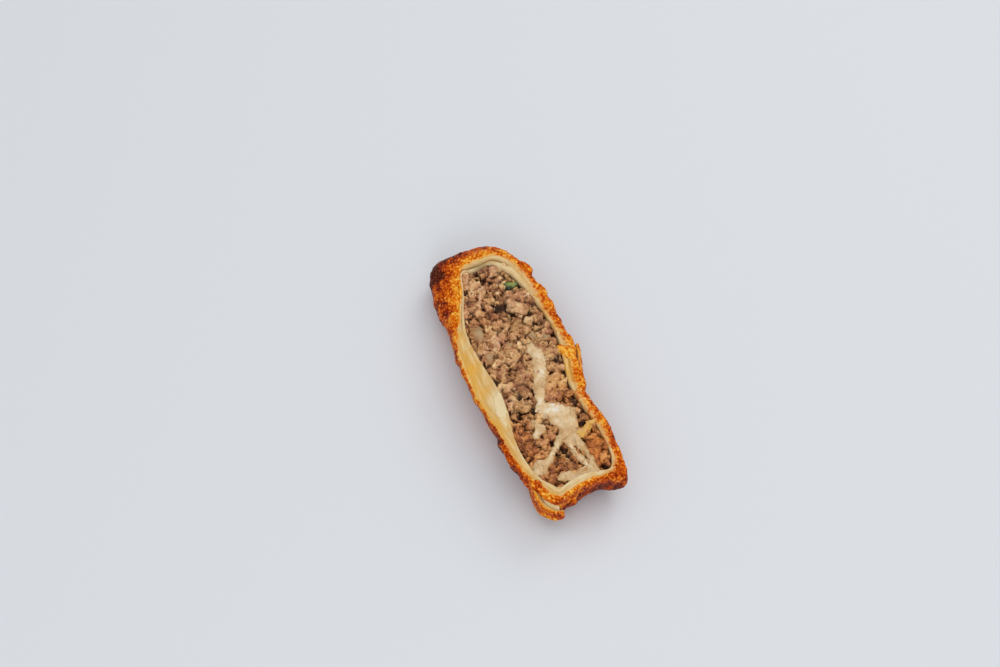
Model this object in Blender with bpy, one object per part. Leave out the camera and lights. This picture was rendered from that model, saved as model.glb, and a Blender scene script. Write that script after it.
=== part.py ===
"""Half of a fried cheesesteak egg roll, cut along its length and lying with the cut face up.

The fried wrapper is a trough with a thick, many-layered rim. It holds chopped beef, a vein of
melted cheese that runs through the beef, and small pieces of green pepper and onion.
X runs along the roll, Y across it and Z up. Sizes are in millimetres until a mesh is made.
"""

import math
import random

import bmesh
import bpy
import numpy as np
from mathutils import Matrix, Vector, noise

MM = 0.001

# Heights above the surface that the roll lies on.
CUT_HEIGHT = 17.0
TROUGH_FLOOR = 3.2
CORE_DROP = 2.4

# The wrapper rests on a flat spot: a stadium round a keel line.
KEEL_START = -38.5
KEEL_END = 34.0
KEEL_SIDE = 0.5
FLAT_RADIUS = 6.5
TROUGH_FLAT = 4.0

# The cut edge of the wrapper, anticlockwise from the far left corner. Each station gives its place
# along and across the roll, the wall's thickness at the cut, how far the shoulder bulges past the
# cut edge, and how square the belly is below it.
RIM_STATIONS = (
    (-46.5, -7.0, 1.8, 10.8, 2.4),
    (-37.0, -10.0, 1.6, 8.2, 2.2),
    (-28.0, -14.6, 2.6, 4.2, 2.1),
    (-19.0, -19.0, 4.8, 0.8, 2.0),
    (-9.5, -20.6, 6.6, 0.1, 2.0),
    (4.5, -21.2, 8.6, 0.0, 2.0),
    (15.0, -20.2, 7.2, 0.0, 2.0),
    (25.0, -19.6, 4.6, 0.1, 2.0),
    (36.0, -18.6, 3.6, 0.2, 2.0),
    (45.5, -15.5, 3.2, 0.2, 2.3),
    (50.6, -13.2, 4.4, 0.3, 3.0),
    (53.6, -10.6, 4.8, 0.4, 3.4),
    (52.4, -5.0, 4.0, 0.4, 3.2),
    (51.2, 1.5, 3.4, 0.4, 2.8),
    (51.6, 9.0, 3.0, 0.4, 2.8),
    (52.4, 14.0, 4.4, 2.6, 2.6),
    (45.0, 15.9, 2.6, 0.1, 2.0),
    (33.0, 17.6, 3.6, 0.1, 2.0),
    (19.0, 15.6, 3.2, 0.1, 2.0),
    (11.0, 16.2, 4.2, 0.1, 2.0),
    (1.0, 18.8, 4.6, 0.1, 2.0),
    (-8.0, 19.4, 3.4, 0.1, 2.0),
    (-18.0, 19.3, 3.8, 0.2, 2.0),
    (-30.0, 18.3, 4.8, 0.4, 2.0),
    (-40.0, 16.4, 6.0, 0.9, 2.1),
    (-46.5, 13.0, 6.0, 2.8, 2.2),
    (-49.8, 8.5, 5.2, 4.8, 2.3),
    (-50.2, 2.0, 5.0, 6.6, 2.4),
    (-49.0, -4.0, 4.0, 8.8, 2.4),
)
RIM_COUNT = 120
SHOULDER_ROWS = 3
SHOULDER_DROP = 1.8
SHOULDER_DROP_SHARE = 0.5
BELLY_ROWS = 6
TROUGH_ROWS = 5
TROUGH_SQUARENESS = 2.4

# Heights of the dough's cut layers from the crust's edge to the filling, and the slit that opens
# between two of them round the far end.
LAYER_HEIGHTS = (-0.3, 0.25, -0.25, 0.15, -0.2, 0.0)
SLIT_LAYER = 3
SLIT_DEPTH = 2.2
SLIT_START = -41.5
SLIT_FULL = -45.0
RIM_WAVE_LENGTH = 9.0
RIM_WAVE_HEIGHT = 0.35

# Fried blisters on the crust, and its slow waves.
BLISTER_COUNT = 130
BLISTER_RADIUS = (1.8, 3.6)
BLISTER_HEIGHT = (0.45, 1.1)
WAVE_LENGTH = 13.0
WAVE_HEIGHT = 0.5
RELIEF_LEVEL = 0.55
RELIEF_FADE = 4.0

# The loose end of the wrapper that curls round the near left corner, and the lip of its outer layer
# that stands off the right side. Stations: along, across, lower edge, upper edge, thickness.
TAIL_STATIONS = (
    (41.5, -15.0, 5.6, 16.9, 2.8),
    (46.4, -16.0, 5.0, 15.8, 2.1),
    (50.8, -15.3, 5.0, 13.4, 2.0),
    (54.3, -12.6, 5.6, 12.2, 2.0),
    (55.8, -9.2, 6.8, 11.4, 1.8),
)
LIP_STATIONS = (
    (12.0, 15.6, 8.0, 13.6, 2.4),
    (7.6, 18.2, 7.6, 14.2, 1.8),
    (2.0, 20.3, 8.0, 14.8, 1.6),
    (-3.4, 21.8, 9.4, 14.9, 1.2),
)
STRIP_SIDES = 10
STRIP_STEPS = 4
STRIP_EDGE = 0.6

# Bits of loose layer that lie on the cut rim: a pale leaf on the left and a fried curl on the right.
# Middle along and across, length, width, height above the cut and turn in degrees.
RIM_BITS = (
    (12.2, -14.2, 14.0, 2.9, 0.8, -9.0),
    (0.2, 16.0, 6.4, 3.2, 1.1, 30.0),
)

# Neighbouring pieces keep this much clear of each other.
CLEARANCE = 0.35

# Chopped beef: crumbs of this size lie this far apart on the core, cut flat by the knife.
CRUMB_SPACING = 4.55
CRUMB_RADIUS = (2.1, 3.3)
CRUMB_TOP = (-1.1, 0.5)
CRUMB_ROUGHNESS = 0.34
CRUMB_LUMPS = 1.4
CRUMB_STRETCH = (1.0, 1.5)
CRUMB_SINK = 0.62
CRUMB_TILT = 0.12
CRUMB_MARGIN = 1.2
CRUMB_THROWS = 6000
NOISE_SPAN = 50.0
ROOM_ABOVE = 4.0

# Melted cheese: stations along each strand give its place, half width and depth below the cut.
CHEESE_TRUNK = (
    (-7.2, 5.2, 0.9, 4.0),
    (-3.0, 5.4, 1.3, 6.0),
    (0.8, 5.3, 2.3, 7.0),
    (4.6, 4.0, 2.4, 8.0),
    (9.2, 1.6, 1.9, 8.0),
    (13.6, -0.2, 1.3, 8.0),
    (17.4, 0.2, 2.6, 8.0),
    (21.4, 2.6, 4.6, 8.0),
    (25.6, 3.8, 4.8, 8.0),
    (29.6, 3.8, 3.4, 7.0),
    (33.2, 3.2, 2.0, 5.0),
)
CHEESE_LEFT = (
    (31.0, 2.2, 1.8, 6.0),
    (33.6, -0.6, 1.1, 5.0),
    (36.6, -5.2, 1.1, 4.0),
    (38.8, -8.8, 1.6, 4.0),
    (40.4, -11.8, 2.4, 3.0),
)
CHEESE_RIGHT = (
    (30.0, 4.4, 2.4, 6.0),
    (35.4, 3.9, 2.5, 5.0),
    (39.5, 3.6, 2.3, 4.0),
    (43.5, 4.8, 1.6, 4.0),
    (46.4, 6.0, 1.2, 3.0),
)
CHEESE_BRIDGE = (
    (30.4, 5.6, 1.3, 4.0),
    (31.2, 8.6, 1.0, 3.4),
    (30.6, 11.6, 0.9, 3.0),
)
SMALL_CHEESE = (
    (21.4, -6.4, 0.9, 3.0),
    (25.2, -5.6, 1.4, 4.0),
    (28.2, -6.2, 0.9, 3.0),
)
CHEESE_TOP = 0.3
CHEESE_SIDES = 10
CHEESE_STEPS = 2
CHEESE_EDGE = 0.7

# Small cut vegetables: middle along and across, length, width, depth and turn in degrees.
PEPPER = (-34.3, 9.0, 5.6, 3.2, 4.5, 58.0)
ONIONS = (
    (-19.2, -9.9, 7.0, 4.2, 4.0, -8.0),
    (-8.2, -10.3, 4.4, 3.2, 4.0, 0.0),
    (-10.9, 7.6, 4.0, 3.2, 4.0, 24.0),
    (-10.7, -1.3, 2.4, 2.0, 3.0, 60.0),
    (-8.6, 11.8, 3.6, 2.6, 4.0, 80.0),
)
PIECE_TOP = 0.2
PIECE_EDGE = 0.6

# Base colour, roughness and metallic value of each material.
CRUST_LOOK = ((0.52, 0.20, 0.045, 1.0), 0.5, 0.0)
BEEF_LOOK = ((0.34, 0.20, 0.13, 1.0), 0.6, 0.0)
CHEESE_LOOK = ((0.74, 0.66, 0.44, 1.0), 0.35, 0.0)
PEPPER_LOOK = ((0.07, 0.16, 0.02, 1.0), 0.35, 0.0)
ONION_LOOK = ((0.55, 0.52, 0.40, 1.0), 0.3, 0.0)


def clear_scene():
    for obj in list(bpy.data.objects):
        bpy.data.objects.remove(obj, do_unlink=True)


def material(name, look):
    colour, roughness, metallic = look
    made = bpy.data.materials.new(name)
    made.use_nodes = True
    shader = made.node_tree.nodes["Principled BSDF"]
    shader.inputs["Base Color"].default_value = colour
    shader.inputs["Roughness"].default_value = roughness
    shader.inputs["Metallic"].default_value = metallic
    return made


def smooth_path(stations, steps, closed=False):
    """Points of a Catmull-Rom curve through the stations, with every column carried along."""
    knots = np.array(stations, float)
    count = len(knots)
    points = []
    for i in range(count if closed else count - 1):
        picks = [i - 1, i, i + 1, i + 2]
        picks = [k % count if closed else min(max(k, 0), count - 1) for k in picks]
        a, b, c, d = knots[picks]
        for u in np.arange(steps) / steps:
            points.append(
                b + 0.5 * (c - a) * u
                + 0.5 * (2 * a - 5 * b + 4 * c - d) * u**2
                + 0.5 * (3 * b - a - 3 * c + d) * u**3
            )
    if not closed:
        points.append(knots[-1])
    return np.array(points)


def evenly(points, count):
    """Samples a closed curve at equal steps of its length in plan."""
    ring = np.vstack([points, points[:1]])
    steps = np.linalg.norm(np.diff(ring[:, :2], axis=0), axis=1)
    travelled = np.concatenate([[0.0], np.cumsum(steps)])
    wanted = np.linspace(0.0, travelled[-1], count, endpoint=False)
    return np.column_stack([np.interp(wanted, travelled, ring[:, k]) for k in range(ring.shape[1])])


def rim_rays(rim):
    """For each rim sample, the nearest point of the keel and the way out from it."""
    keel = np.column_stack([
        np.clip(rim[:, 0], KEEL_START, KEEL_END),
        np.full(len(rim), KEEL_SIDE),
    ])
    out = rim[:, :2] - keel
    return keel, out / np.linalg.norm(out, axis=1)[:, None]


def ring_at(plan, height):
    return np.column_stack([plan, np.broadcast_to(height, len(plan))])


def belly_rings(top, foot, drop_from, drop_to, rows, squareness):
    """Rings that go down and in from the plan outline top to the plan outline foot."""
    rings = []
    for row in range(1, rows + 1):
        angle = 0.5 * math.pi * row / rows
        across = max(math.cos(angle), 0.0) ** (2.0 / squareness)
        down = math.sin(angle) ** (2.0 / squareness)
        height = drop_from + (drop_to - drop_from) * down
        rings.append(ring_at(foot + (top - foot) * np.reshape(across, (-1, 1)), height))
    return rings


def grid_normals(rings):
    """Outward normals of a grid of closed rings, from the differences between its neighbours."""
    grid = np.array(rings)
    along = np.roll(grid, -1, axis=1) - np.roll(grid, 1, axis=1)
    down = np.gradient(grid, axis=0)
    normals = np.cross(down, along)
    return normals / np.maximum(np.linalg.norm(normals, axis=2), 1e-9)[:, :, None]


def blisters(surface):
    """Centres, radii and heights of the blisters, drawn from the surface's own points."""
    draw = random.Random(11)
    points = surface.reshape(-1, 3)
    return [
        (points[draw.randrange(len(points))], draw.uniform(*BLISTER_RADIUS), draw.uniform(*BLISTER_HEIGHT))
        for _ in range(BLISTER_COUNT)
    ]


def crust_relief(surface):
    """How far the fried crust stands out at each point of a grid: slow waves and blisters."""
    points = surface.reshape(-1, 3)
    relief = np.array([WAVE_HEIGHT * noise.noise(Vector(p) / WAVE_LENGTH) for p in points])
    for centre, radius, height in blisters(surface):
        distance = np.linalg.norm(points - centre, axis=1)
        relief += height * np.exp(-((distance / radius) ** 2))
    return relief.reshape(surface.shape[:2])


def rim_rings(edge, out, wall):
    """Rings of the cut rim: its layers stand a little above and below the cut, with a slit."""
    last = len(LAYER_HEIGHTS) - 1
    far = np.clip((SLIT_START - edge[:, 0]) / (SLIT_START - SLIT_FULL), 0.0, 1.0)
    rings = []
    for row, layer in enumerate(LAYER_HEIGHTS):
        ring = ring_at(edge - out * wall * row / last, CUT_HEIGHT + layer)
        ring[:, 2] += [RIM_WAVE_HEIGHT * noise.noise(Vector(p) / RIM_WAVE_LENGTH) for p in ring]
        if row == SLIT_LAYER:
            ring[:, 2] -= SLIT_DEPTH * far
        rings.append(ring)
    return rings


def wrapper_rings(rim):
    """Rings of the whole wrapper, from the flat spot up the outside and down into the trough."""
    keel, out = rim_rays(rim)
    edge, wall, bulge, squareness = rim[:, :2], rim[:, 2:3], rim[:, 3:4], rim[:, 4]
    top = rim_rings(edge, out, wall)
    shoulder_drop = SHOULDER_DROP + SHOULDER_DROP_SHARE * bulge[:, 0]
    outside = [top[0]]
    for row in range(1, SHOULDER_ROWS + 1):
        angle = 0.5 * math.pi * row / SHOULDER_ROWS
        height = top[0][:, 2] - shoulder_drop * (1 - math.cos(angle))
        outside.append(ring_at(edge + out * bulge * math.sin(angle), height))
    foot = keel + out * FLAT_RADIUS
    outside += belly_rings(edge + out * bulge, foot, outside[-1][:, 2], 0.0, BELLY_ROWS, squareness)
    surface = np.array(outside)
    relief = crust_relief(surface) - RELIEF_LEVEL
    # The relief dies away towards the flat spot and the cut edge.
    relief *= np.clip(surface[:, :, 2] / RELIEF_FADE, 0.0, 1.0)
    relief[0] = 0.0
    surface += grid_normals(outside) * relief[:, :, None]
    surface[:, :, 2] = np.maximum(surface[:, :, 2], 0.0)
    trough_foot = keel + out * TROUGH_FLAT
    inside = belly_rings(
        edge - out * wall, trough_foot, top[-1][:, 2], TROUGH_FLOOR, TROUGH_ROWS, TROUGH_SQUARENESS
    )
    return list(surface[:0:-1]) + top + inside


def solid_from_rings(name, rings):
    """A closed mesh object: each ring is bridged to the next, and the two ends are filled."""
    count = len(rings[0])
    points = np.vstack(rings) * MM
    faces = []
    for row in range(len(rings) - 1):
        low, high = row * count, (row + 1) * count
        for i in range(count):
            j = (i + 1) % count
            faces.append((low + i, low + j, high + j, high + i))
    faces.append(tuple(reversed(range(count))))
    last = (len(rings) - 1) * count
    faces.append(tuple(range(last, last + count)))
    mesh = bpy.data.meshes.new(name)
    mesh.from_pydata([tuple(p) for p in points], [], faces)
    work = bmesh.new()
    work.from_mesh(mesh)
    bmesh.ops.recalc_face_normals(work, faces=work.faces)
    bmesh.ops.triangulate(work, faces=work.faces)
    work.to_mesh(mesh)
    work.free()
    obj = bpy.data.objects.new(name, mesh)
    bpy.context.scene.collection.objects.link(obj)
    return obj


def strip_solid(name, stations):
    """A standing strip of wrapper that follows its stations, with rounded edges."""
    path = smooth_path(stations, STRIP_STEPS)
    along = np.gradient(path[:, :2], axis=0)
    along /= np.linalg.norm(along, axis=1)[:, None]
    side = np.column_stack([along[:, 1], -along[:, 0]])
    rings = []
    for (x, y, low, high, thick), normal in zip(path, side):
        middle, half_high = 0.5 * (low + high), 0.5 * (high - low)
        ring = []
        for k in range(STRIP_SIDES):
            angle = 2 * math.pi * k / STRIP_SIDES
            sideways = 0.5 * thick * math.cos(angle)
            upright = half_high * math.copysign(abs(math.sin(angle)) ** STRIP_EDGE, math.sin(angle))
            ring.append((x + normal[0] * sideways, y + normal[1] * sideways, middle + upright))
        rings.append(np.array(ring))
    return solid_from_rings(name, rings)


def strand_solid(name, stations, swell=0.0):
    """A strand of melted cheese: an egg-shaped section hung below the cut, along its stations."""
    path = smooth_path(stations, CHEESE_STEPS)
    along = np.gradient(path[:, :2], axis=0)
    along /= np.linalg.norm(along, axis=1)[:, None]
    side = np.column_stack([-along[:, 1], along[:, 0]])
    path[0, :2] -= along[0] * swell
    path[-1, :2] += along[-1] * swell
    rings = []
    for (x, y, half_width, depth), normal in zip(path, side):
        top, bottom = CHEESE_TOP + swell, -depth - swell
        reach = half_width + swell
        ring = []
        for k in range(CHEESE_SIDES):
            angle = 2 * math.pi * k / CHEESE_SIDES
            sideways = reach * math.copysign(abs(math.cos(angle)) ** CHEESE_EDGE, math.cos(angle))
            upright = 0.5 * (top + bottom) + 0.5 * (top - bottom) * math.sin(angle)
            ring.append((x + normal[0] * sideways, y + normal[1] * sideways, CUT_HEIGHT + upright))
        rings.append(np.array(ring))
    return solid_from_rings(name, rings)


def vegetable_solid(name, size, swell=0.0):
    """A small cut piece of vegetable: a block with rounded edges, sunk in the beef."""
    x, y, length, width, depth, turn = size
    work = bmesh.new()
    bmesh.ops.create_cube(work, size=1.0)
    mesh = bpy.data.meshes.new(name)
    work.to_mesh(mesh)
    work.free()
    obj = bpy.data.objects.new(name, mesh)
    bpy.context.scene.collection.objects.link(obj)
    sides = Vector((length, width, depth)) + Vector((2 * swell,) * 3)
    obj.data.transform(Matrix.Diagonal((*(sides * MM), 1.0)))
    obj.location = Vector((x, y, CUT_HEIGHT + PIECE_TOP - 0.5 * depth)) * MM
    obj.rotation_euler = (0.0, 0.0, math.radians(turn))
    if not swell:
        edge = obj.modifiers.new("rounded_edges", "BEVEL")
        edge.width = PIECE_EDGE * MM
        edge.segments = 2
    return obj


def crumb_solid(name, centre, radius, top, draw):
    """A crumb of chopped beef: a lumpy ball, stretched one way and cut flat on top."""
    work = bmesh.new()
    bmesh.ops.create_icosphere(work, subdivisions=1, radius=1.0)
    turn = draw.uniform(0.0, math.pi)
    stretch = draw.uniform(*CRUMB_STRETCH)
    offset = Vector([draw.uniform(0.0, NOISE_SPAN) for _ in range(3)])
    for vert in work.verts:
        lump = 1.0 + CRUMB_ROUGHNESS * noise.noise(vert.co * CRUMB_LUMPS + offset)
        x, y, z = vert.co * radius * lump
        x *= stretch
        x, y = x * math.cos(turn) - y * math.sin(turn), x * math.sin(turn) + y * math.cos(turn)
        ceiling = CUT_HEIGHT + top + CRUMB_TILT * z
        height = min(centre[2] + z, ceiling)
        vert.co = Vector((centre[0] + x, centre[1] + y, height)) * MM
    mesh = bpy.data.meshes.new(name)
    work.to_mesh(mesh)
    work.free()
    return bpy.data.objects.new(name, mesh)


def scattered_places(inside, spacing, draw):
    """Places at least spacing apart, inside a plan outline, by throwing darts."""
    low, high = inside.min(axis=0), inside.max(axis=0)
    places = []
    for _ in range(CRUMB_THROWS):
        place = np.array([draw.uniform(low[0], high[0]), draw.uniform(low[1], high[1])])
        if not in_outline(place, inside):
            continue
        if all(np.linalg.norm(place - other) >= spacing for other in places):
            places.append(place)
    return places


def in_outline(place, outline):
    """Whether a plan point is inside a closed outline, by counting crossings."""
    x, y = place
    ahead = np.roll(outline, -1, axis=0)
    crosses = (outline[:, 1] > y) != (ahead[:, 1] > y)
    rise = np.where(ahead[:, 1] == outline[:, 1], 1e-9, ahead[:, 1] - outline[:, 1])
    at = outline[:, 0] + (y - outline[:, 1]) * (ahead[:, 0] - outline[:, 0]) / rise
    return bool((crosses & (at > x)).sum() % 2)


def apply_boolean(obj, operation, other=None, collection=None):
    """Joins to, cuts from or keeps within obj the other object or a collection's objects."""
    cut = obj.modifiers.new(operation.lower(), "BOOLEAN")
    cut.operation = operation
    cut.solver = "MANIFOLD"
    if collection is None:
        cut.object = other
    else:
        cut.operand_type = "COLLECTION"
        cut.collection = collection
    graph = bpy.context.evaluated_depsgraph_get()
    made = bpy.data.meshes.new_from_object(obj.evaluated_get(graph))
    obj.modifiers.clear()
    obj.data = made


def remove(*objects):
    for obj in objects:
        bpy.data.objects.remove(obj, do_unlink=True)


def rim_bit(name, size):
    """A rounded bit of loose layer that is sunk in the cut rim."""
    x, y, length, width, height, turn = size
    work = bmesh.new()
    bmesh.ops.create_icosphere(work, subdivisions=2, radius=1.0)
    mesh = bpy.data.meshes.new(name)
    work.to_mesh(mesh)
    work.free()
    place = Matrix.Translation(Vector((x, y, CUT_HEIGHT)) * MM)
    sides = Vector((0.5 * length, 0.5 * width, height)) * MM
    mesh.transform(place @ Matrix.Rotation(math.radians(turn), 4, "Z") @ Matrix.Diagonal((*sides, 1.0)))
    obj = bpy.data.objects.new(name, mesh)
    bpy.context.scene.collection.objects.link(obj)
    return obj


def make_wrapper(rim):
    """The fried wrapper, with its loose tail, the lip on its right side and the bits on its rim."""
    wrapper = solid_from_rings("wrapper", wrapper_rings(rim))
    extras = [strip_solid("tail", TAIL_STATIONS), strip_solid("lip", LIP_STATIONS)]
    extras += [rim_bit("bit", size) for size in RIM_BITS]
    for extra in extras:
        apply_boolean(wrapper, "UNION", other=extra)
        remove(extra)
    keep_largest_shell(wrapper)
    wrapper.data.materials.clear()
    wrapper.data.materials.append(material("fried_wrapper", CRUST_LOOK))
    return wrapper


def trough_filler(name, rim, top):
    """A solid of the trough's inside, kept clear of its walls, up to the height top."""
    keel, out = rim_rays(rim)
    edge = rim[:, :2] - out * (rim[:, 2:3] + CLEARANCE)
    foot = keel + out * (TROUGH_FLAT - CLEARANCE)
    rings = [ring_at(edge, top)]
    if top > CUT_HEIGHT:
        rings.append(ring_at(edge, CUT_HEIGHT))
    rings += belly_rings(
        edge, foot, min(top, CUT_HEIGHT), TROUGH_FLOOR + CLEARANCE, TROUGH_ROWS, TROUGH_SQUARENESS
    )
    return solid_from_rings(name, rings)


def make_cheese():
    """The melted cheese: a trunk, two strands that run on to the near end and one to the side."""
    trunk = strand_solid("melted_cheese", CHEESE_TRUNK)
    for stations in (CHEESE_LEFT, CHEESE_RIGHT, CHEESE_BRIDGE):
        strand = strand_solid("strand", stations)
        apply_boolean(trunk, "UNION", other=strand)
        remove(strand)
    trunk.data.materials.clear()
    trunk.data.materials.append(material("melted_cheese", CHEESE_LOOK))
    return trunk


def keep_largest_shell(obj):
    """Drops the loose scraps and the sealed hollows that booleans leave."""
    work = bmesh.new()
    work.from_mesh(obj.data)
    work.verts.ensure_lookup_table()
    left = set(work.verts)
    shells = []
    while left:
        queue = [left.pop()]
        shell = list(queue)
        while queue:
            vert = queue.pop()
            for edge in vert.link_edges:
                other = edge.other_vert(vert)
                if other in left:
                    left.discard(other)
                    shell.append(other)
                    queue.append(other)
        shells.append(shell)
    shells.sort(key=len)
    for shell in shells[:-1]:
        bmesh.ops.delete(work, geom=shell, context="VERTS")
    work.to_mesh(obj.data)
    work.free()


def make_beef(rim, neighbours):
    """The chopped beef: a core that fills the trough, crumbs fused on, and room for neighbours."""
    draw = random.Random(5)
    beef = trough_filler("beef_filling", rim, CUT_HEIGHT - CORE_DROP)
    keel, out = rim_rays(rim)
    inside = rim[:, :2] - out * (rim[:, 2:3] + CRUMB_MARGIN)
    crumbs = bpy.data.collections.new("crumbs")
    bpy.context.scene.collection.children.link(crumbs)
    for number, (x, y) in enumerate(scattered_places(inside, CRUMB_SPACING, draw)):
        radius = draw.uniform(*CRUMB_RADIUS)
        top = draw.uniform(*CRUMB_TOP)
        centre = (x, y, CUT_HEIGHT + top - CRUMB_SINK * radius)
        crumbs.objects.link(crumb_solid(f"crumb_{number}", centre, radius, top, draw))
    apply_boolean(beef, "UNION", collection=crumbs)
    remove(*list(crumbs.objects))
    bpy.data.collections.remove(crumbs)
    room = trough_filler("room", rim, CUT_HEIGHT + ROOM_ABOVE)
    apply_boolean(beef, "INTERSECT", other=room)
    remove(room)
    for neighbour in neighbours:
        apply_boolean(beef, "DIFFERENCE", other=neighbour)
    keep_largest_shell(beef)
    beef.data.materials.clear()
    beef.data.materials.append(material("chopped_beef", BEEF_LOOK))
    return beef


def centre(pieces):
    """Moves all the pieces so that the origin is under the middle of their bounding box."""
    corners = np.array([vert.co for obj in pieces for vert in world_mesh(obj).vertices])
    middle = 0.5 * (corners.min(axis=0) + corners.max(axis=0))
    for obj in pieces:
        obj.data.transform(Matrix.Translation((-middle[0], -middle[1], 0.0)))


def world_mesh(obj):
    """Applies the object's placing and modifiers to its mesh, and returns the mesh."""
    bpy.context.view_layer.update()
    graph = bpy.context.evaluated_depsgraph_get()
    mesh = bpy.data.meshes.new_from_object(obj.evaluated_get(graph))
    mesh.transform(obj.matrix_world)
    obj.modifiers.clear()
    obj.matrix_world = Matrix.Identity(4)
    obj.data = mesh
    return mesh


def main():
    clear_scene()
    rim = evenly(smooth_path(RIM_STATIONS, 16, closed=True), RIM_COUNT)
    pieces = [make_wrapper(rim), make_cheese()]
    small_cheese = strand_solid("small_cheese", SMALL_CHEESE)
    small_cheese.data.materials.append(bpy.data.materials["melted_cheese"])
    pieces.append(small_cheese)
    pepper = vegetable_solid("green_pepper", PEPPER)
    pepper.data.materials.append(material("green_pepper", PEPPER_LOOK))
    pieces.append(pepper)
    onion_look = material("onion", ONION_LOOK)
    for number, size in enumerate(ONIONS, start=1):
        onion = vegetable_solid(f"onion_{number}", size)
        onion.data.materials.append(onion_look)
        pieces.append(onion)
    rooms = [
        strand_solid(f"room_{number}", stations, swell=CLEARANCE)
        for number, stations in enumerate(
            (CHEESE_TRUNK, CHEESE_LEFT, CHEESE_RIGHT, CHEESE_BRIDGE, SMALL_CHEESE)
        )
    ]
    rooms += [vegetable_solid("room_piece", size, swell=CLEARANCE) for size in (PEPPER, *ONIONS)]
    pieces.append(make_beef(rim, rooms))
    remove(*rooms)
    centre(pieces)


main()
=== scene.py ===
import math
import random

import bmesh
import bpy
import numpy as np
from mathutils import Matrix, Vector, noise


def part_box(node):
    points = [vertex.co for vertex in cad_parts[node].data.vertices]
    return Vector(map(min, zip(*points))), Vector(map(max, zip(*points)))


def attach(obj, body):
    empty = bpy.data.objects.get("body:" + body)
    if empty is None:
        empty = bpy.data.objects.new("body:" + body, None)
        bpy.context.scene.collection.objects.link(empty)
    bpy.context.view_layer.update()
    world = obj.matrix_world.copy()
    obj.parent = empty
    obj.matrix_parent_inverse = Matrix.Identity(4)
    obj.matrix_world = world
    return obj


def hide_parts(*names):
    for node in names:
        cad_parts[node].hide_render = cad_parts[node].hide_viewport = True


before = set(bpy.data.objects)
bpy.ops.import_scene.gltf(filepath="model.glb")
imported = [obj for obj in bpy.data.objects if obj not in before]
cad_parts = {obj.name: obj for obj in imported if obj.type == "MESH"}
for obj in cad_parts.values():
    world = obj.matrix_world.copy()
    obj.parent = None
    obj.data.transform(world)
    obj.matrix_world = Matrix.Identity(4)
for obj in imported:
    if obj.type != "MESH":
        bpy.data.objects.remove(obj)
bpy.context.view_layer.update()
MM = 0.001

# The camera looks down on the cut face from beyond the near end, a little to the left of it, as a
# food photographer does over a white table. The lens is a short telephoto, so the roll keeps its
# true proportions.
CAMERA_TURN = math.radians(67.0)
CAMERA_HEIGHT = math.radians(58.0)
LENS, SENSOR, IMAGE_WIDTH, IMAGE_HEIGHT = 85.0, 36.0, 1000, 667
PIXELS_PER_MM = 2.82
AIM = Vector((5.35, 0.2, 17.0)) * MM
AIM_PIXEL = (531.0, 378.0)

back = Vector((
    math.sin(CAMERA_TURN) * math.cos(CAMERA_HEIGHT),
    -math.cos(CAMERA_TURN) * math.cos(CAMERA_HEIGHT),
    math.sin(CAMERA_HEIGHT),
))
right = Vector((0.0, 0.0, 1.0)).cross(back).normalized()
up = back.cross(right)
focal_pixels = LENS / SENSOR * IMAGE_WIDTH
distance = focal_pixels / PIXELS_PER_MM * MM
aside = right * (AIM_PIXEL[0] - IMAGE_WIDTH / 2) - up * (AIM_PIXEL[1] - IMAGE_HEIGHT / 2)
camera = bpy.data.objects.new("camera", bpy.data.cameras.new("camera"))
camera.data.lens = LENS
camera.data.sensor_width = SENSOR
camera.data.clip_start = 0.01
turned = Matrix((right, up, back)).transposed().to_4x4()
camera.matrix_world = Matrix.Translation(AIM + (back - aside / focal_pixels) * distance) @ turned
bpy.context.scene.collection.objects.link(camera)
bpy.context.scene.camera = camera
bpy.context.scene.view_settings.view_transform = "Standard"


# The table is a plain pale sheet. It is lit by a wide soft box over it, a smaller one from the far
# right that shapes the crust, a fill from the near side, and the pale room all round.
TABLE_SIDE = 4.0
TABLE_ROUGHNESS = 0.75
# Each soft box: its name, place, width, power and colour.
SOFT_BOXES = (
    ("overhead_soft_box", (-0.1, 0.2, 1.5), 1.4, 4.6, (1.0, 0.99, 0.97)),
    ("far_right_soft_box", (-0.6, 0.9, 0.9), 0.8, 3.2, (1.0, 0.98, 0.95)),
    ("near_fill_soft_box", (1.2, -0.5, 0.8), 0.8, 5.5, (0.97, 0.98, 1.0)),
)
ROOM_LIGHT = (0.92, 0.94, 0.97, 1.0)
ROOM_STRENGTH = 0.61


def srgb(red, green, blue):
    """The linear colour of three screen values from 0 to 255."""
    parts = [c / 255 for c in (red, green, blue)]
    linear = [c / 12.92 if c <= 0.04045 else ((c + 0.055) / 1.055) ** 2.4 for c in parts]
    return (*linear, 1.0)


def new_material(name):
    material = bpy.data.materials.new(name)
    material.use_nodes = True
    return material, material.node_tree, material.node_tree.nodes["Principled BSDF"]


def give(tree, node, inputs):
    """Links or sets each named or numbered input of a node."""
    for key, value in inputs.items():
        if isinstance(value, bpy.types.NodeSocket):
            tree.links.new(value, node.inputs[key])
        else:
            node.inputs[key].default_value = value


TABLE_COLOUR = srgb(223, 226, 230)
half_side = TABLE_SIDE / 2
corners = [(x * half_side, y * half_side, 0.0) for x, y in ((-1, -1), (1, -1), (1, 1), (-1, 1))]
table_mesh = bpy.data.meshes.new("table")
table_mesh.from_pydata(corners, [], [(0, 1, 2, 3)])
table = bpy.data.objects.new("table", table_mesh)
bpy.context.scene.collection.objects.link(table)
table_finish, tree, shader = new_material("table_finish")
give(tree, shader, {"Base Color": TABLE_COLOUR, "Roughness": TABLE_ROUGHNESS})
table_mesh.materials.append(table_finish)

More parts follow.
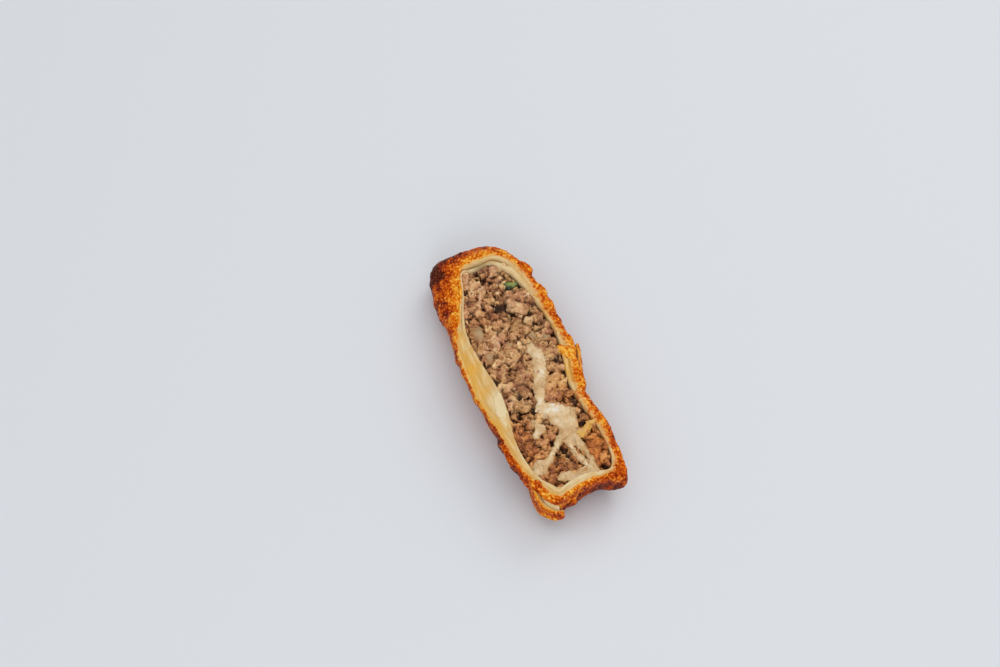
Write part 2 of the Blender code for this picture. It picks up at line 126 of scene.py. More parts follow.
for name, place, size, power, colour in SOFT_BOXES:
    lamp = bpy.data.lights.new(name, "AREA")
    lamp.shape = "DISK"
    lamp.size = size
    lamp.energy = power
    lamp.color = colour
    box = bpy.data.objects.new(name, lamp)
    box.location = place
    box.rotation_euler = (-Vector(place)).to_track_quat("-Z", "Y").to_euler()
    bpy.context.scene.collection.objects.link(box)

room = bpy.data.worlds.new("pale_room")
room.use_nodes = True
background = room.node_tree.nodes["Background"]
give(room.node_tree, background, {"Color": ROOM_LIGHT, "Strength": ROOM_STRENGTH})
bpy.context.scene.world = room


# The fried wrapper: a sheet of egg-roll dough rolled round the filling, fried and cut along its
# length, so it is a trough with a blistered brown crust and a pale cut edge of many layers. One
# closed skin is swept round the rim: crust, cut edge, then the inside.
CUT_HEIGHT = 17.0
TROUGH_FLOOR = 3.2
KEEL_START = -38.5
KEEL_END = 34.0
KEEL_SIDE = 0.5
FLAT_RADIUS = 6.5
TROUGH_FLAT = 4.0
# Each rim station: along, across, wall thickness, bulge past the cut, squareness of the belly, and
# how far in from the edge the cut is fried.
RIM_STATIONS = (
    (-46.5, -7.0, 1.8, 10.8, 2.4, 1.4),
    (-37.0, -10.0, 1.6, 8.2, 2.2, 1.0),
    (-28.0, -14.6, 2.6, 4.2, 2.1, 1.1),
    (-19.0, -19.0, 4.8, 0.8, 2.0, 0.8),
    (-9.5, -20.6, 6.6, 0.1, 2.0, 0.55),
    (4.5, -21.2, 8.6, 0.0, 2.0, 0.5),
    (15.0, -20.2, 7.2, 0.0, 2.0, 0.55),
    (25.0, -19.6, 4.6, 0.1, 2.0, 0.8),
    (36.0, -18.6, 3.6, 0.2, 2.0, 0.9),
    (45.5, -15.5, 3.2, 0.2, 2.3, 1.2),
    (50.6, -13.2, 4.4, 0.3, 3.0, 1.8),
    (53.6, -10.6, 4.8, 0.4, 3.4, 1.6),
    (52.4, -5.0, 4.0, 0.4, 3.2, 1.2),
    (51.2, 1.5, 3.4, 0.4, 2.8, 1.0),
    (51.6, 9.0, 3.0, 0.4, 2.8, 1.0),
    (52.4, 14.0, 4.4, 2.6, 2.6, 3.2),
    (45.0, 15.9, 2.6, 0.1, 2.0, 2.0),
    (33.0, 17.6, 3.6, 0.1, 2.0, 3.2),
    (19.0, 15.6, 3.2, 0.1, 2.0, 3.2),
    (11.0, 16.2, 4.2, 0.1, 2.0, 2.2),
    (1.0, 18.8, 4.6, 0.1, 2.0, 2.4),
    (-8.0, 19.4, 3.4, 0.1, 2.0, 2.8),
    (-18.0, 19.3, 3.8, 0.2, 2.0, 2.9),
    (-30.0, 18.3, 4.8, 0.4, 2.0, 2.7),
    (-40.0, 16.4, 6.0, 0.9, 2.1, 2.2),
    (-46.5, 13.0, 6.0, 2.8, 2.2, 1.8),
    (-49.8, 8.5, 5.2, 4.8, 2.3, 1.5),
    (-50.2, 2.0, 5.0, 6.6, 2.4, 1.3),
    (-49.0, -4.0, 4.0, 8.8, 2.4, 1.2),
)
RIM_STEPS = 40
RIM_COUNT = 780
SHOULDER_ROWS = 16
BELLY_ROWS = 42
EDGE_ROWS = 22
TROUGH_ROWS = 8
SHOULDER_DROP = 1.8
SHOULDER_DROP_SHARE = 0.5
TROUGH_SQUARENESS = 2.4
LAYER_THICKNESS = 1.25
LAYER_STEP = 0.18
# How the sheets of dough wander along the cut: how long and by how many layers.
LAYER_WANDER_LENGTH = 11.0
LAYER_WANDER = 1.1
# Waves of a surface are given by how long and how high each is.
CUT_WAVES = ((9.0, 0.35), (2.5, 0.12))
RAGGED_WAVES = ((2.2, 1.0), (0.9, 0.7))
EDGE_RAGGED = 0.24
EDGE_ROUND_REACH = 0.35
EDGE_ROUND_DEPTH = 0.45
# The pocket between two layers at the far end: its middle and reach, along and across, its depth
# and how much it is shaded.
POCKET_MIDDLE = (-45.6, 2.2)
POCKET_REACH = (1.2, 3.6)
POCKET_DEPTH = 1.6
POCKET_SHADE = 0.8
STREAK_LENGTH = 7.0
STREAK_WIDTH = 1.0
STREAK_HEIGHT = 0.07
# A groove runs between two layers, on the left side of the far end and half way along the right
# side. Past its start the layers part into the slit, at one place in the wall's thickness.
GROOVE_DEPTH = 0.5
GROOVE_SHADE = 0.5
GROOVE_LEFT_START = -20.0
GROOVE_LEFT_FADE = 6.0
GROOVE_RIGHT_MIDDLE = 4.0
GROOVE_RIGHT_REACH = 8.0
GROOVE_SIDE_FADE = 4.0
SLIT_PLACE = 0.62
SLIT_WIDTH = 0.09
SLIT_DEPTH = 1.5
SLIT_START = -41.5
SLIT_FULL = -45.0
SLIT_SHADE = 0.6
WAVE_LENGTH = 13.0
WAVE_HEIGHT = 0.5
BLISTER_COUNT = 150
BLISTER_RADIUS = (1.6, 3.4)
BLISTER_HEIGHT = (0.35, 1.0)
RELIEF_LEVEL = 0.5
RELIEF_FADE = 4.0
RELIEF_START_ROWS = 5.0
FAR_LIMIT = -56.2
# How fried the cut is at its outer edge, and how fast that falls over the toasted width.
FRIED_AT_EDGE = 1.15
FRIED_FALL = 0.65
# How brown the crust fried. It is gold beside the cut where the crust bulges past it, partly its
# frying colour and partly painted light on the top of the bulge, and turns browner down the sides,
# partly its frying colour and partly painted shade.
BROWN_LEVEL = 0.47
EDGE_GOLD_AND_LIGHT = -0.21
GOLD_REACH = 2.8
GOLD_BULGE = 6.0
SIDE_BROWN_AND_SHADE = 0.14
BROWN_REACH = 6.0
# Browner or paler places: along, across, up, how far each reaches, and how much it adds.
BROWN_PLACES = (
    (-54.0, -14.0, 12.0, 7.5, 0.5),
    (-57.0, -5.0, 12.0, 8.0, 0.3),
    (-44.0, -19.0, 10.0, 9.0, 0.1),
    (-33.0, -19.0, 8.0, 10.0, 0.1),
    (-20.0, -20.0, 12.0, 6.0, 0.06),
    (24.0, -19.5, 12.0, 6.0, 0.55),
    (36.0, -18.5, 11.0, 6.0, 0.42),
    (50.0, 2.0, 9.0, 9.0, 0.26),
    (52.0, 12.0, 9.0, 7.0, 0.2),
    (40.0, 16.5, 12.0, 6.0, 0.12),
    (-5.0, 20.0, 14.0, 12.0, 0.02),
    (-28.0, 19.0, 14.0, 14.0, 0.02),
    (-46.0, 14.0, 14.0, 8.0, 0.06),
    (0.0, 0.0, 0.0, 22.0, 0.12),
)
# How yellow the cut dough is, from grey cream to gold, given the same way.
RICH_LEVEL = 0.45
RICH_PLACES = (
    (-12.0, -17.5, 17.0, 8.0, 0.02),
    (-6.0, -16.0, 17.0, 4.0, 0.16),
    (10.0, -14.0, 17.0, 5.0, -0.3),
    (22.0, -17.0, 17.0, 7.0, 0.08),
    (38.0, -16.0, 17.0, 6.0, 0.05),
    (-44.0, -4.0, 17.0, 6.0, -0.25),
    (-36.0, -8.0, 17.0, 6.0, -0.2),
    (-44.0, 8.0, 17.0, 7.0, -0.25),
    (-30.0, 14.0, 17.0, 6.0, -0.15),
    (-16.0, 17.0, 17.0, 8.0, 0.15),
    (4.0, 16.0, 17.0, 6.0, 0.3),
    (30.0, 15.0, 17.0, 8.0, 0.1),
    (48.6, 1.0, 17.0, 2.4, -0.4),
    (49.0, -4.5, 17.0, 2.4, -0.3),
    (49.4, 7.0, 17.0, 2.2, -0.3),
    (53.0, -2.0, 17.0, 3.0, 0.3),
    (53.0, 6.0, 17.0, 3.0, 0.3),
)


def smooth_path(stations, steps, closed=False):
    """Points of a Catmull-Rom curve through the stations, with every column carried along."""
    knots = np.array(stations, float)
    count = len(knots)
    points = []
    for i in range(count if closed else count - 1):
        picks = [i - 1, i, i + 1, i + 2]
        picks = [k % count if closed else min(max(k, 0), count - 1) for k in picks]
        a, b, c, d = knots[picks]
        for u in np.arange(steps) / steps:
            points.append(
                b + 0.5 * (c - a) * u
                + 0.5 * (2 * a - 5 * b + 4 * c - d) * u**2
                + 0.5 * (3 * b - a - 3 * c + d) * u**3
            )
    if not closed:
        points.append(knots[-1])
    return np.array(points)


def evenly(points, count):
    """Samples a closed curve at equal steps of its length in plan."""
    ring = np.vstack([points, points[:1]])
    steps = np.linalg.norm(np.diff(ring[:, :2], axis=0), axis=1)
    travelled = np.concatenate([[0.0], np.cumsum(steps)])
    wanted = np.linspace(0.0, travelled[-1], count, endpoint=False)
    return np.column_stack([np.interp(wanted, travelled, column) for column in ring.T])


def rim_rays(rim):
    """For each rim sample, the nearest point of the keel and the way out from it."""
    keel = np.column_stack([
        np.clip(rim[:, 0], KEEL_START, KEEL_END),
        np.full(len(rim), KEEL_SIDE),
    ])
    out = rim[:, :2] - keel
    return keel, out / np.linalg.norm(out, axis=1)[:, None]


def ring_at(plan, height):
    return np.column_stack([plan, np.broadcast_to(height, len(plan))])


def belly_rings(top, foot, drop_from, drop_to, rows, squareness):
    """Rings that go down and in from the plan outline top to the plan outline foot."""
    rings = []
    for row in range(1, rows + 1):
        angle = 0.5 * math.pi * row / rows
        across = max(math.cos(angle), 0.0) ** (2.0 / squareness)
        down = math.sin(angle) ** (2.0 / squareness)
        height = drop_from + (drop_to - drop_from) * down
        rings.append(ring_at(foot + (top - foot) * np.reshape(across, (-1, 1)), height))
    return rings


def noise_at(points, length):
    flat = [noise.noise(Vector(p) / length) for p in points.reshape(-1, 3)]
    return np.array(flat).reshape(points.shape[:-1])


def waves_at(points, waves):
    return sum(height * noise_at(points, length) for length, height in waves)


def bell(share):
    """1 in the middle of a place, and falling to nothing past its reach."""
    return np.exp(-(share ** 2))


def pocket_at(points):
    """How far into the pocket each point is."""
    return np.exp(-(((points[..., :2] - POCKET_MIDDLE) / POCKET_REACH) ** 2).sum(axis=-1))


def grid_normals(grid):
    """Outward normals of a grid of closed rings, from the differences between its neighbours."""
    along = np.roll(grid, -1, axis=1) - np.roll(grid, 1, axis=1)
    down = np.gradient(grid, axis=0)
    normals = np.cross(down, along)
    return normals / np.maximum(np.linalg.norm(normals, axis=2), 1e-9)[:, :, None]


def crust_relief(surface):
    """How far the fried crust stands out at each point: slow waves and blisters."""
    draw = random.Random(11)
    points = surface.reshape(-1, 3)
    relief = WAVE_HEIGHT * noise_at(points, WAVE_LENGTH)
    for _ in range(BLISTER_COUNT):
        centre = points[draw.randrange(len(points))]
        radius, height = draw.uniform(*BLISTER_RADIUS), draw.uniform(*BLISTER_HEIGHT)
        relief += height * bell(np.linalg.norm(points - centre, axis=1) / radius)
    return relief.reshape(surface.shape[:2])


def level_at(points, level, places):
    """A general level, raised or lowered smoothly round each of some places."""
    level = np.full(points.shape[:-1], level)
    for x, y, z, reach, added in places:
        level += added * bell(np.linalg.norm(points - np.array((x, y, z)), axis=-1) / reach)
    return level


def skin_of(name, grid, values):
    """A closed mesh object from a grid of rings in millimetres, with a value for each point."""
    grid = np.asarray(grid)
    rows, count = grid.shape[:2]
    points = grid.reshape(-1, 3) * MM + origin
    index = np.arange(rows * count).reshape(rows, count)
    ahead = np.roll(index, -1, axis=1)
    quads = np.stack([index[:-1], ahead[:-1], ahead[1:], index[1:]], axis=-1).reshape(-1, 4)
    faces = [tuple(map(int, quad)) for quad in quads]
    faces += [tuple(range(count))[::-1], tuple(range((rows - 1) * count, rows * count))]
    mesh = bpy.data.meshes.new(name)
    mesh.from_pydata([tuple(map(float, p)) for p in points], [], faces)
    for label, value in values.items():
        attribute = mesh.attributes.new(label, "FLOAT", "POINT")
        attribute.data.foreach_set("value", np.asarray(value, np.float32).reshape(-1))
    work = bmesh.new()
    work.from_mesh(mesh)
    bmesh.ops.recalc_face_normals(work, faces=work.faces)
    work.to_mesh(mesh)
    work.free()
    mesh.shade_smooth()
    piece = bpy.data.objects.new(name, mesh)
    bpy.context.scene.collection.objects.link(piece)
    return piece


def add(tree, kind, inputs=None, **settings):
    """A new node with its settings, and with its inputs linked or set."""
    node = tree.nodes.new(kind)
    for name, value in settings.items():
        setattr(node, name, value)
    give(tree, node, inputs or {})
    return node


def start_tree(name, inputs):
    """A new Geometry Nodes tree with its geometry sockets and the named inputs."""
    tree = bpy.data.node_groups.new(name, "GeometryNodeTree")
    tree.is_modifier = True
    tree.interface.new_socket("Geometry", in_out="INPUT", socket_type="NodeSocketGeometry")
    for label, kind, value in inputs:
        socket = tree.interface.new_socket(label, in_out="INPUT", socket_type="NodeSocket" + kind)
        if value is not None:
            socket.default_value = value
    tree.interface.new_socket("Geometry", in_out="OUTPUT", socket_type="NodeSocketGeometry")
    return tree, add(tree, "NodeGroupInput").outputs


def end_tree(tree, given, geometry):
    """Makes the tree's instances real, gives them their finish and sends them out."""
    realized = add(tree, "GeometryNodeRealizeInstances", {0: geometry}).outputs[0]
    inputs = {"Geometry": realized, "Material": given["Finish"]}
    add(tree, "NodeGroupOutput", {0: add(tree, "GeometryNodeSetMaterial", inputs).outputs[0]})


def run_tree(piece, tree, values):
    """Runs a tree on a piece with its inputs set, and keeps the result as its plain mesh."""
    modifier = piece.modifiers.new(tree.name, "NODES")
    modifier.node_group = tree
    for item in tree.interface.items_tree:
        if item.in_out == "INPUT" and item.name in values:
            modifier[item.identifier] = values[item.name]
    graph = bpy.context.evaluated_depsgraph_get()
    mesh = bpy.data.meshes.new_from_object(
        piece.evaluated_get(graph), preserve_all_data_layers=True, depsgraph=graph
    )
    piece.modifiers.clear()
    piece.data = mesh


def math_node(tree, operation, value, *others):
    """A value that is worked on by each of the others in turn."""
    for other in others:
        value = add(tree, "ShaderNodeMath", {0: value, 1: other}, operation=operation).outputs[0]
    return value


def plus(tree, *values):
    return math_node(tree, "ADD", *values)


def times(tree, *values):
    return math_node(tree, "MULTIPLY", *values)


def vector_node(tree, operation, vector, other):
    """A vector that is worked on by another one, or scaled by a number."""
    inputs = {0: vector, "Scale" if operation == "SCALE" else 1: other}
    return add(tree, "ShaderNodeVectorMath", inputs, operation=operation).outputs[0]


def mapped(tree, value, low, high, to_low=0.0, to_high=1.0):
    """The value stretched from one range to another, and held at its ends."""
    inputs = {0: value, "From Min": low, "From Max": high, "To Min": to_low, "To Max": to_high}
    return add(tree, "ShaderNodeMapRange", inputs).outputs["Result"]


def noise_node(tree, place, scale, detail, roughness=0.5):
    inputs = {"Vector": place, "Scale": scale, "Detail": detail, "Roughness": roughness}
    return add(tree, "ShaderNodeTexNoise", inputs).outputs


def parts_of(tree, vector):
    return add(tree, "ShaderNodeSeparateXYZ", {0: vector}).outputs


def moved_by(tree, geometry, offset):
    inputs = {"Geometry": geometry, "Offset": offset}
    return add(tree, "GeometryNodeSetPosition", inputs).outputs[0]


def stored(tree, geometry, name, value, domain="POINT"):
    """The geometry with a value of that name kept on it."""
    inputs = {"Geometry": geometry, "Name": name, "Value": value}
    node = add(tree, "GeometryNodeStoreNamedAttribute", inputs, data_type="FLOAT", domain=domain)
    return node.outputs[0]


def read_attribute(tree, name):
    """The named value of each point, in a Geometry Nodes tree or a material."""
    if tree.bl_idname == "GeometryNodeTree":
        node = add(tree, "GeometryNodeInputNamedAttribute", {"Name": name}, data_type="FLOAT")
        return node.outputs[0]
    return add(tree, "ShaderNodeAttribute", attribute_name=name).outputs["Fac"]


# The middle of the pepper's box, set against its place on the cut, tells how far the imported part
# was moved to centre it. The pepper: along, across, length, width, depth, turn.
PEPPER = (-34.3, 9.0, 5.6, 3.2, 4.5, 58.0)
pepper_low, pepper_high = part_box("green_pepper")
origin = np.array([
    0.5 * (pepper_low.x + pepper_high.x) - PEPPER[0] * MM,
    0.5 * (pepper_low.y + pepper_high.y) - PEPPER[1] * MM,
    0.0,
])

rim = evenly(smooth_path(RIM_STATIONS, RIM_STEPS, closed=True), RIM_COUNT)
keel, out = rim_rays(rim)
edge, wall, bulge = rim[:, :2], rim[:, 2:3], rim[:, 3:4]
squareness, toasted = rim[:, 4], rim[:, 5]
level_rim = ring_at(edge, CUT_HEIGHT)
ragged = (EDGE_RAGGED * waves_at(level_rim, RAGGED_WAVES))[:, None]
inner_edge = edge - out * wall
edge = edge + out * ragged
far = np.clip((SLIT_START - edge[:, 0]) / (SLIT_START - SLIT_FULL), 0.0, 1.0)
on_left = np.clip(-edge[:, 1] / GROOVE_SIDE_FADE, 0, 1)
on_right = np.clip(edge[:, 1] / GROOVE_SIDE_FADE, 0, 1)
groove = np.clip((GROOVE_LEFT_START - edge[:, 0]) / GROOVE_LEFT_FADE, 0, 1) * on_left * (1 - far)
groove += bell((edge[:, 0] - GROOVE_RIGHT_MIDDLE) / GROOVE_RIGHT_REACH) * on_right
way_round = np.cumsum(np.linalg.norm(level_rim - np.roll(level_rim, 1, axis=0), axis=1))
edge_rings, streak_rows = [], []
for row in range(EDGE_ROWS + 1):
    through = row / EDGE_ROWS
    inside = wall[:, 0] * through
    evened = ragged * (1 - (1 - through) ** 4)
    ring = ring_at(edge - out * (wall * through + evened), CUT_HEIGHT)
    lift = waves_at(ring, CUT_WAVES)
    sheet = inside / LAYER_THICKNESS + LAYER_WANDER * noise_at(ring, LAYER_WANDER_LENGTH)
    lift += LAYER_STEP * (np.abs((sheet % 1.0) - 0.5) * 2.0 - 0.5)
    lift -= EDGE_ROUND_DEPTH * bell(inside / EDGE_ROUND_REACH)
    lift -= POCKET_DEPTH * pocket_at(ring)
    lift -= (SLIT_DEPTH * far + GROOVE_DEPTH * groove) * bell((through - SLIT_PLACE) / SLIT_WIDTH)
    stretched = [way_round / STREAK_LENGTH, inside / STREAK_WIDTH, 0 * inside]
    streak = noise_at(np.column_stack(stretched), 1.0)
    streak_rows.append(streak)
    lift += STREAK_HEIGHT * streak * np.clip(inside / toasted, 0.2, 1.0)
    ring[:, 2] += lift
    edge_rings.append(ring)
drop = SHOULDER_DROP + SHOULDER_DROP_SHARE * bulge[:, 0]
crust_rings = [edge_rings[0]]
for row in range(1, SHOULDER_ROWS + 1):
    angle = 0.5 * math.pi * row / SHOULDER_ROWS
    height = edge_rings[0][:, 2] - drop * (1 - math.cos(angle))
    crust_rings.append(ring_at(edge + out * bulge * math.sin(angle), height))
crust_rings += belly_rings(
    edge + out * bulge, keel + out * FLAT_RADIUS, crust_rings[-1][:, 2],
    0.0, BELLY_ROWS, squareness,
)
crust = np.array(crust_rings)
relief = crust_relief(crust) - RELIEF_LEVEL
relief *= np.clip(crust[:, :, 2] / RELIEF_FADE, 0.0, 1.0)
relief *= np.clip(np.arange(len(crust)) / RELIEF_START_ROWS, 0.0, 1.0)[:, None]
crust += grid_normals(crust) * relief[:, :, None]
crust[:, :, 2] = np.maximum(crust[:, :, 2], 0.0)
crust[:, :, 0] = np.maximum(crust[:, :, 0], FAR_LIMIT)
trough_rings = belly_rings(
    inner_edge, keel + out * TROUGH_FLAT, edge_rings[-1][:, 2],
    TROUGH_FLOOR, TROUGH_ROWS, TROUGH_SQUARENESS,
)
grid = np.array(list(crust[:0:-1]) + edge_rings + trough_rings)
crust_row_count = len(crust) - 1
cut_rows = slice(crust_row_count, crust_row_count + EDGE_ROWS + 1)
through = np.zeros(grid.shape[:2])
through[cut_rows] = np.linspace(0, 1, EDGE_ROWS + 1)[:, None]
through[cut_rows.stop:] = 1.0
depth = through * wall[:, 0][None, :]
fried = np.clip(FRIED_AT_EDGE - FRIED_FALL * depth / toasted[None, :], 0.0, 1.0)
fried[:crust_row_count] = 1.0
gap = POCKET_SHADE * pocket_at(grid)
parted = (SLIT_SHADE * far + GROOVE_SHADE * groove)[None, :]
gap += parted * bell((through - SLIT_PLACE) / (0.7 * SLIT_WIDTH))
browning = level_at(grid, BROWN_LEVEL, BROWN_PLACES)
from_edge = np.linalg.norm(grid - grid[crust_row_count], axis=2)
down_side = np.clip(from_edge[:crust_row_count] / BROWN_REACH, 0.0, 1.0)
# Browner down the sides: partly frying colour, partly painted shade.
browning[:crust_row_count] += SIDE_BROWN_AND_SHADE * down_side
# Gold beside the cut on the bulge: partly frying colour, partly painted light on its top.
leaning = np.clip(bulge[:, 0] / GOLD_BULGE, 0.0, 1.0)
browning += EDGE_GOLD_AND_LIGHT * leaning * bell(from_edge / GOLD_REACH)
streaks = np.zeros(grid.shape[:2])
streaks[cut_rows] = streak_rows
wrapper = skin_of("wrapper_crust", grid, {
    "fried": fried,
    "depth": depth,
    "wall": np.broadcast_to(wall[:, 0], depth.shape),
    "gap": gap,
    "streak": streaks,
    "richness": level_at(grid, RICH_LEVEL, RICH_PLACES),
    "browning": browning,
})

# Frying raises small bubbles all over the crust. The tree lifts them where the crust is fried.
bubbles, given = start_tree("fried_bubbles", (
    ("Bubble Size", "Float", 1.6 * MM),
    ("Bubble Height", "Float", 0.42 * MM),
    ("Grain Size", "Float", 0.85 * MM),
    ("Grain Height", "Float", 0.24 * MM),
    ("Seed", "Float", 0.0),
    ("Finish", "Material", None),
))
place = add(bubbles, "GeometryNodeInputPosition").outputs[0]
shifted = vector_node(bubbles, "ADD", place, given["Seed"])


def bubble_height(size, height, sharpness):
    """Domes of one size packed side by side, in the shifted place."""
    scale = math_node(bubbles, "DIVIDE", 1.0, size)
    cells = add(bubbles, "ShaderNodeTexVoronoi", {"Vector": shifted, "Scale": scale}, feature="F1")
    fall = math_node(bubbles, "POWER", cells.outputs["Distance"], sharpness)
    return times(bubbles, math_node(bubbles, "SUBTRACT", 1.0, fall), height)


patch = noise_node(bubbles, shifted, 220.0, 2.0)["Fac"]
coarse = bubble_height(given["Bubble Size"], given["Bubble Height"], 2.0)
coarse = times(bubbles, coarse, mapped(bubbles, patch, 0.35, 0.65))
fine = bubble_height(given["Grain Size"], given["Grain Height"], 1.6)
off_table = mapped(bubbles, parts_of(bubbles, place)["Z"], 0.2 * MM, 3.0 * MM)
rise = plus(bubbles, coarse, fine)
rise = times(bubbles, rise, read_attribute(bubbles, "fried"), off_table)
normal = add(bubbles, "GeometryNodeInputNormal").outputs[0]
moved = moved_by(bubbles, given["Geometry"], vector_node(bubbles, "SCALE", normal, rise))
# The height share kept here is what the finish paints paler on bubble crests and browner in the
# hollows, a painted highlight and painted shade.
share = math_node(bubbles, "DIVIDE", rise, given["Bubble Height"])
end_tree(bubbles, given, stored(bubbles, moved, "bubble", share))


def ramp(tree, value, stops):
    """A colour for each value: stops are (value, screen colour)."""
    node = add(tree, "ShaderNodeValToRGB", {"Fac": value})
    band = node.color_ramp
    while len(band.elements) < len(stops):
        band.elements.new(0.5)
    for element, (at, colour) in zip(band.elements, stops):
        element.position = at
        element.color = srgb(*colour)
    return node.outputs["Color"]


def mix_colours(tree, share, a, b, how="MIX"):
    inputs = {0: share, 6: a, 7: b}
    return add(tree, "ShaderNodeMix", inputs, data_type="RGBA", blend_type=how).outputs[2]


def bump(tree, height, strength, distance):
    inputs = {"Height": height, "Strength": strength, "Distance": distance}
    return add(tree, "ShaderNodeBump", inputs).outputs[0]


# A shader group for the uneven grain of cooked food: a soft tone and a fine height.
grain = bpy.data.node_groups.new("cooked_grain", "ShaderNodeTree")
grain.interface.new_socket("Size", in_out="INPUT", socket_type="NodeSocketFloat")
for label in ("Tone", "Height"):
    grain.interface.new_socket(label, in_out="OUTPUT", socket_type="NodeSocketFloat")
spot = add(grain, "ShaderNodeTexCoord").outputs["Object"]
per = math_node(grain, "DIVIDE", 1.0, add(grain, "NodeGroupInput").outputs["Size"])
cloud = noise_node(grain, spot, per, 5.0, 0.6)["Fac"]
pit_scale = times(grain, per, 2.6)
pits = add(grain, "ShaderNodeTexVoronoi", {"Vector": spot, "Scale": pit_scale}).outputs["Distance"]
pitted = plus(grain, cloud, times(grain, pits, -0.55))
add(grain, "NodeGroupOutput", {"Tone": cloud, "Height": pitted})


def grain_node(tree, size):
    """The tone and the height of a grain of that size."""
    node = add(tree, "ShaderNodeGroup", {"Size": size}, node_tree=grain)
    return node.outputs["Tone"], node.outputs["Height"]


def swing(tree, tone, reach):
    """A grain's tone as a change of up to the reach either way."""
    return mapped(tree, tone, 0.3, 0.7, -reach, reach)


# The wrapper's finish: gold to nearly burnt brown crust with oily bubbles, their crests painted
# paler as painted highlight and the hollows between them browner as painted shade, and pale specks
# that are painted oil glints. The cut edge is golden next to the crust and creamy next to the
# filling, with the lines of its layers, the streaks of its pulled dough, paler where raised as
# painted highlight and darker where sunk as painted shade, and shaded gaps.
wrapper_finish, tree, shader = new_material("fried_wrapper")
blotch, _ = grain_node(tree, 5.0 * MM)
speck, speck_height = grain_node(tree, 1.1 * MM)
object_place = add(tree, "ShaderNodeTexCoord").outputs["Object"]
# Spots where the crust is painted paler: painted oil glints.
glint_spots = noise_node(tree, object_place, 1300.0, 1.0)["Fac"]
depth_value = read_attribute(tree, "depth")
thickness = math_node(tree, "MAXIMUM", read_attribute(tree, "wall"), 1.0)
inward = math_node(tree, "DIVIDE", depth_value, thickness)
cooked = read_attribute(tree, "fried")
# Bubble crests are painted paler, a painted highlight, and the hollows between them browner, a
# painted shade.
brown = plus(
    tree, read_attribute(tree, "browning"),
    swing(tree, blotch, 0.22),
    swing(tree, speck, 0.16),
    mapped(tree, read_attribute(tree, "bubble"), 0.15, 1.2, 0.28, -0.26),
    mapped(tree, cooked, 0.5, 1.0, -0.38, 0.0),
    mapped(tree, glint_spots, 0.5, 0.66, 0.05, -0.3),
)
crust_colour = ramp(tree, brown, (
    (0.0, (252, 198, 88)),
    (0.2, (242, 158, 34)),
    (0.4, (224, 112, 6)),
    (0.6, (192, 72, 2)),
    (0.8, (140, 42, 4)),
    (1.0, (80, 26, 10)),
))
# Pale specks over the crust colour, and the lighter tone they give it, are painted oil glints.
painted_glint = mapped(tree, glint_spots, 0.58, 0.7, 0.0, 0.16)
crust_colour = mix_colours(tree, painted_glint, crust_colour, srgb(255, 190, 110))
rich = plus(
    tree, read_attribute(tree, "richness"),
    swing(tree, blotch, 0.2),
    mapped(tree, inward, 0.0, 1.0, 0.28, -0.14),
)
dough_colour = ramp(tree, rich, (
    (0.0, (236, 214, 168)),
    (0.3, (228, 194, 138)),
    (0.55, (224, 177, 101)),
    (0.8, (232, 175, 74)),
    (1.0, (230, 148, 36)),
))
line = math_node(tree, "DIVIDE", depth_value, LAYER_THICKNESS * 0.6)
line = plus(tree, line, times(tree, blotch, 3.0))
line = math_node(tree, "PINGPONG", line, 0.5)
line_share = times(
    tree, mapped(tree, line, 0.0, 0.16, 0.3, 0.0),
    mapped(tree, speck, 0.35, 0.6),
    mapped(tree, depth_value, 0.0, 0.3),
)
# The streaks of pulled dough are coloured by their relief: paler where raised, a painted
# highlight, and darker where sunk, a painted shade.
streak_value = read_attribute(tree, "streak")
for share, colour in (
    (line_share, (184, 136, 74)),
    (mapped(tree, streak_value, -0.05, -0.4, 0.0, 0.22), (186, 140, 78)),
    (mapped(tree, streak_value, 0.05, 0.4, 0.0, 0.3), (250, 230, 182)),
    (read_attribute(tree, "gap"), (146, 120, 78)),
):
    dough_colour = mix_colours(tree, share, dough_colour, srgb(*colour))
fried_share = plus(tree, cooked, swing(tree, blotch, 0.2), swing(tree, speck, 0.2))
fried_share = mapped(tree, fried_share, 0.36, 0.78)
give(tree, shader, {
    "Base Color": mix_colours(tree, fried_share, dough_colour, crust_colour),
    "Roughness": mapped(tree, speck, 0.3, 0.7, 0.3, 0.55),
    "Specular IOR Level": 0.06,
    "Normal": bump(tree, speck_height, 0.7, 0.35 * MM),
    "Subsurface Weight": 0.06,
    "Subsurface Radius": (1.0, 0.5, 0.2),
    "Subsurface Scale": 1.0 * MM,
})
run_tree(wrapper, bubbles, {"Seed": 0.0, "Finish": wrapper_finish})
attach(wrapper, "root")
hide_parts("wrapper")


# The loose end of the roll: the outermost turn of the dough comes away at the near left corner and
# curls out over a pale inner layer, and on the right side its lip stands off the wall. Each is a
# strip swept along its path, brown outside, golden along its cut top and paler inside.
STRIP_STEPS = 34
STRIP_SIDES = 56
STRIP_END = 0.05
STRIP_WAVES = ((3.0, 0.35), (1.3, 0.22))
STRIP_TRIM = 0.25
LOOSE_WALL = 3.0
# Each station of a strip: along, across, lower edge, upper edge, thickness.
TAIL_STATIONS = (
    (41.5, -15.0, 5.6, 16.9, 2.8),
    (46.4, -16.0, 5.0, 15.8, 2.1),
    (50.8, -15.3, 5.0, 13.4, 2.0),
    (54.3, -12.6, 5.6, 12.2, 2.0),
    (55.8, -9.2, 6.8, 11.4, 1.8),
)
LIP_STATIONS = (
    (12.0, 15.6, 8.0, 13.6, 2.4),
    (7.6, 18.2, 7.6, 14.2, 1.8),
    (2.0, 20.2, 8.0, 14.8, 1.6),
    (-3.4, 21.5, 9.4, 14.9, 1.2),
)
LAYER_STATIONS = (
    (46.6, -15.0, 11.0, 16.8, 0.8),
    (49.6, -14.6, 9.0, 16.4, 0.8),
    (52.8, -13.0, 8.0, 15.6, 0.8),
    (54.8, -10.6, 8.0, 14.2, 0.8),
)


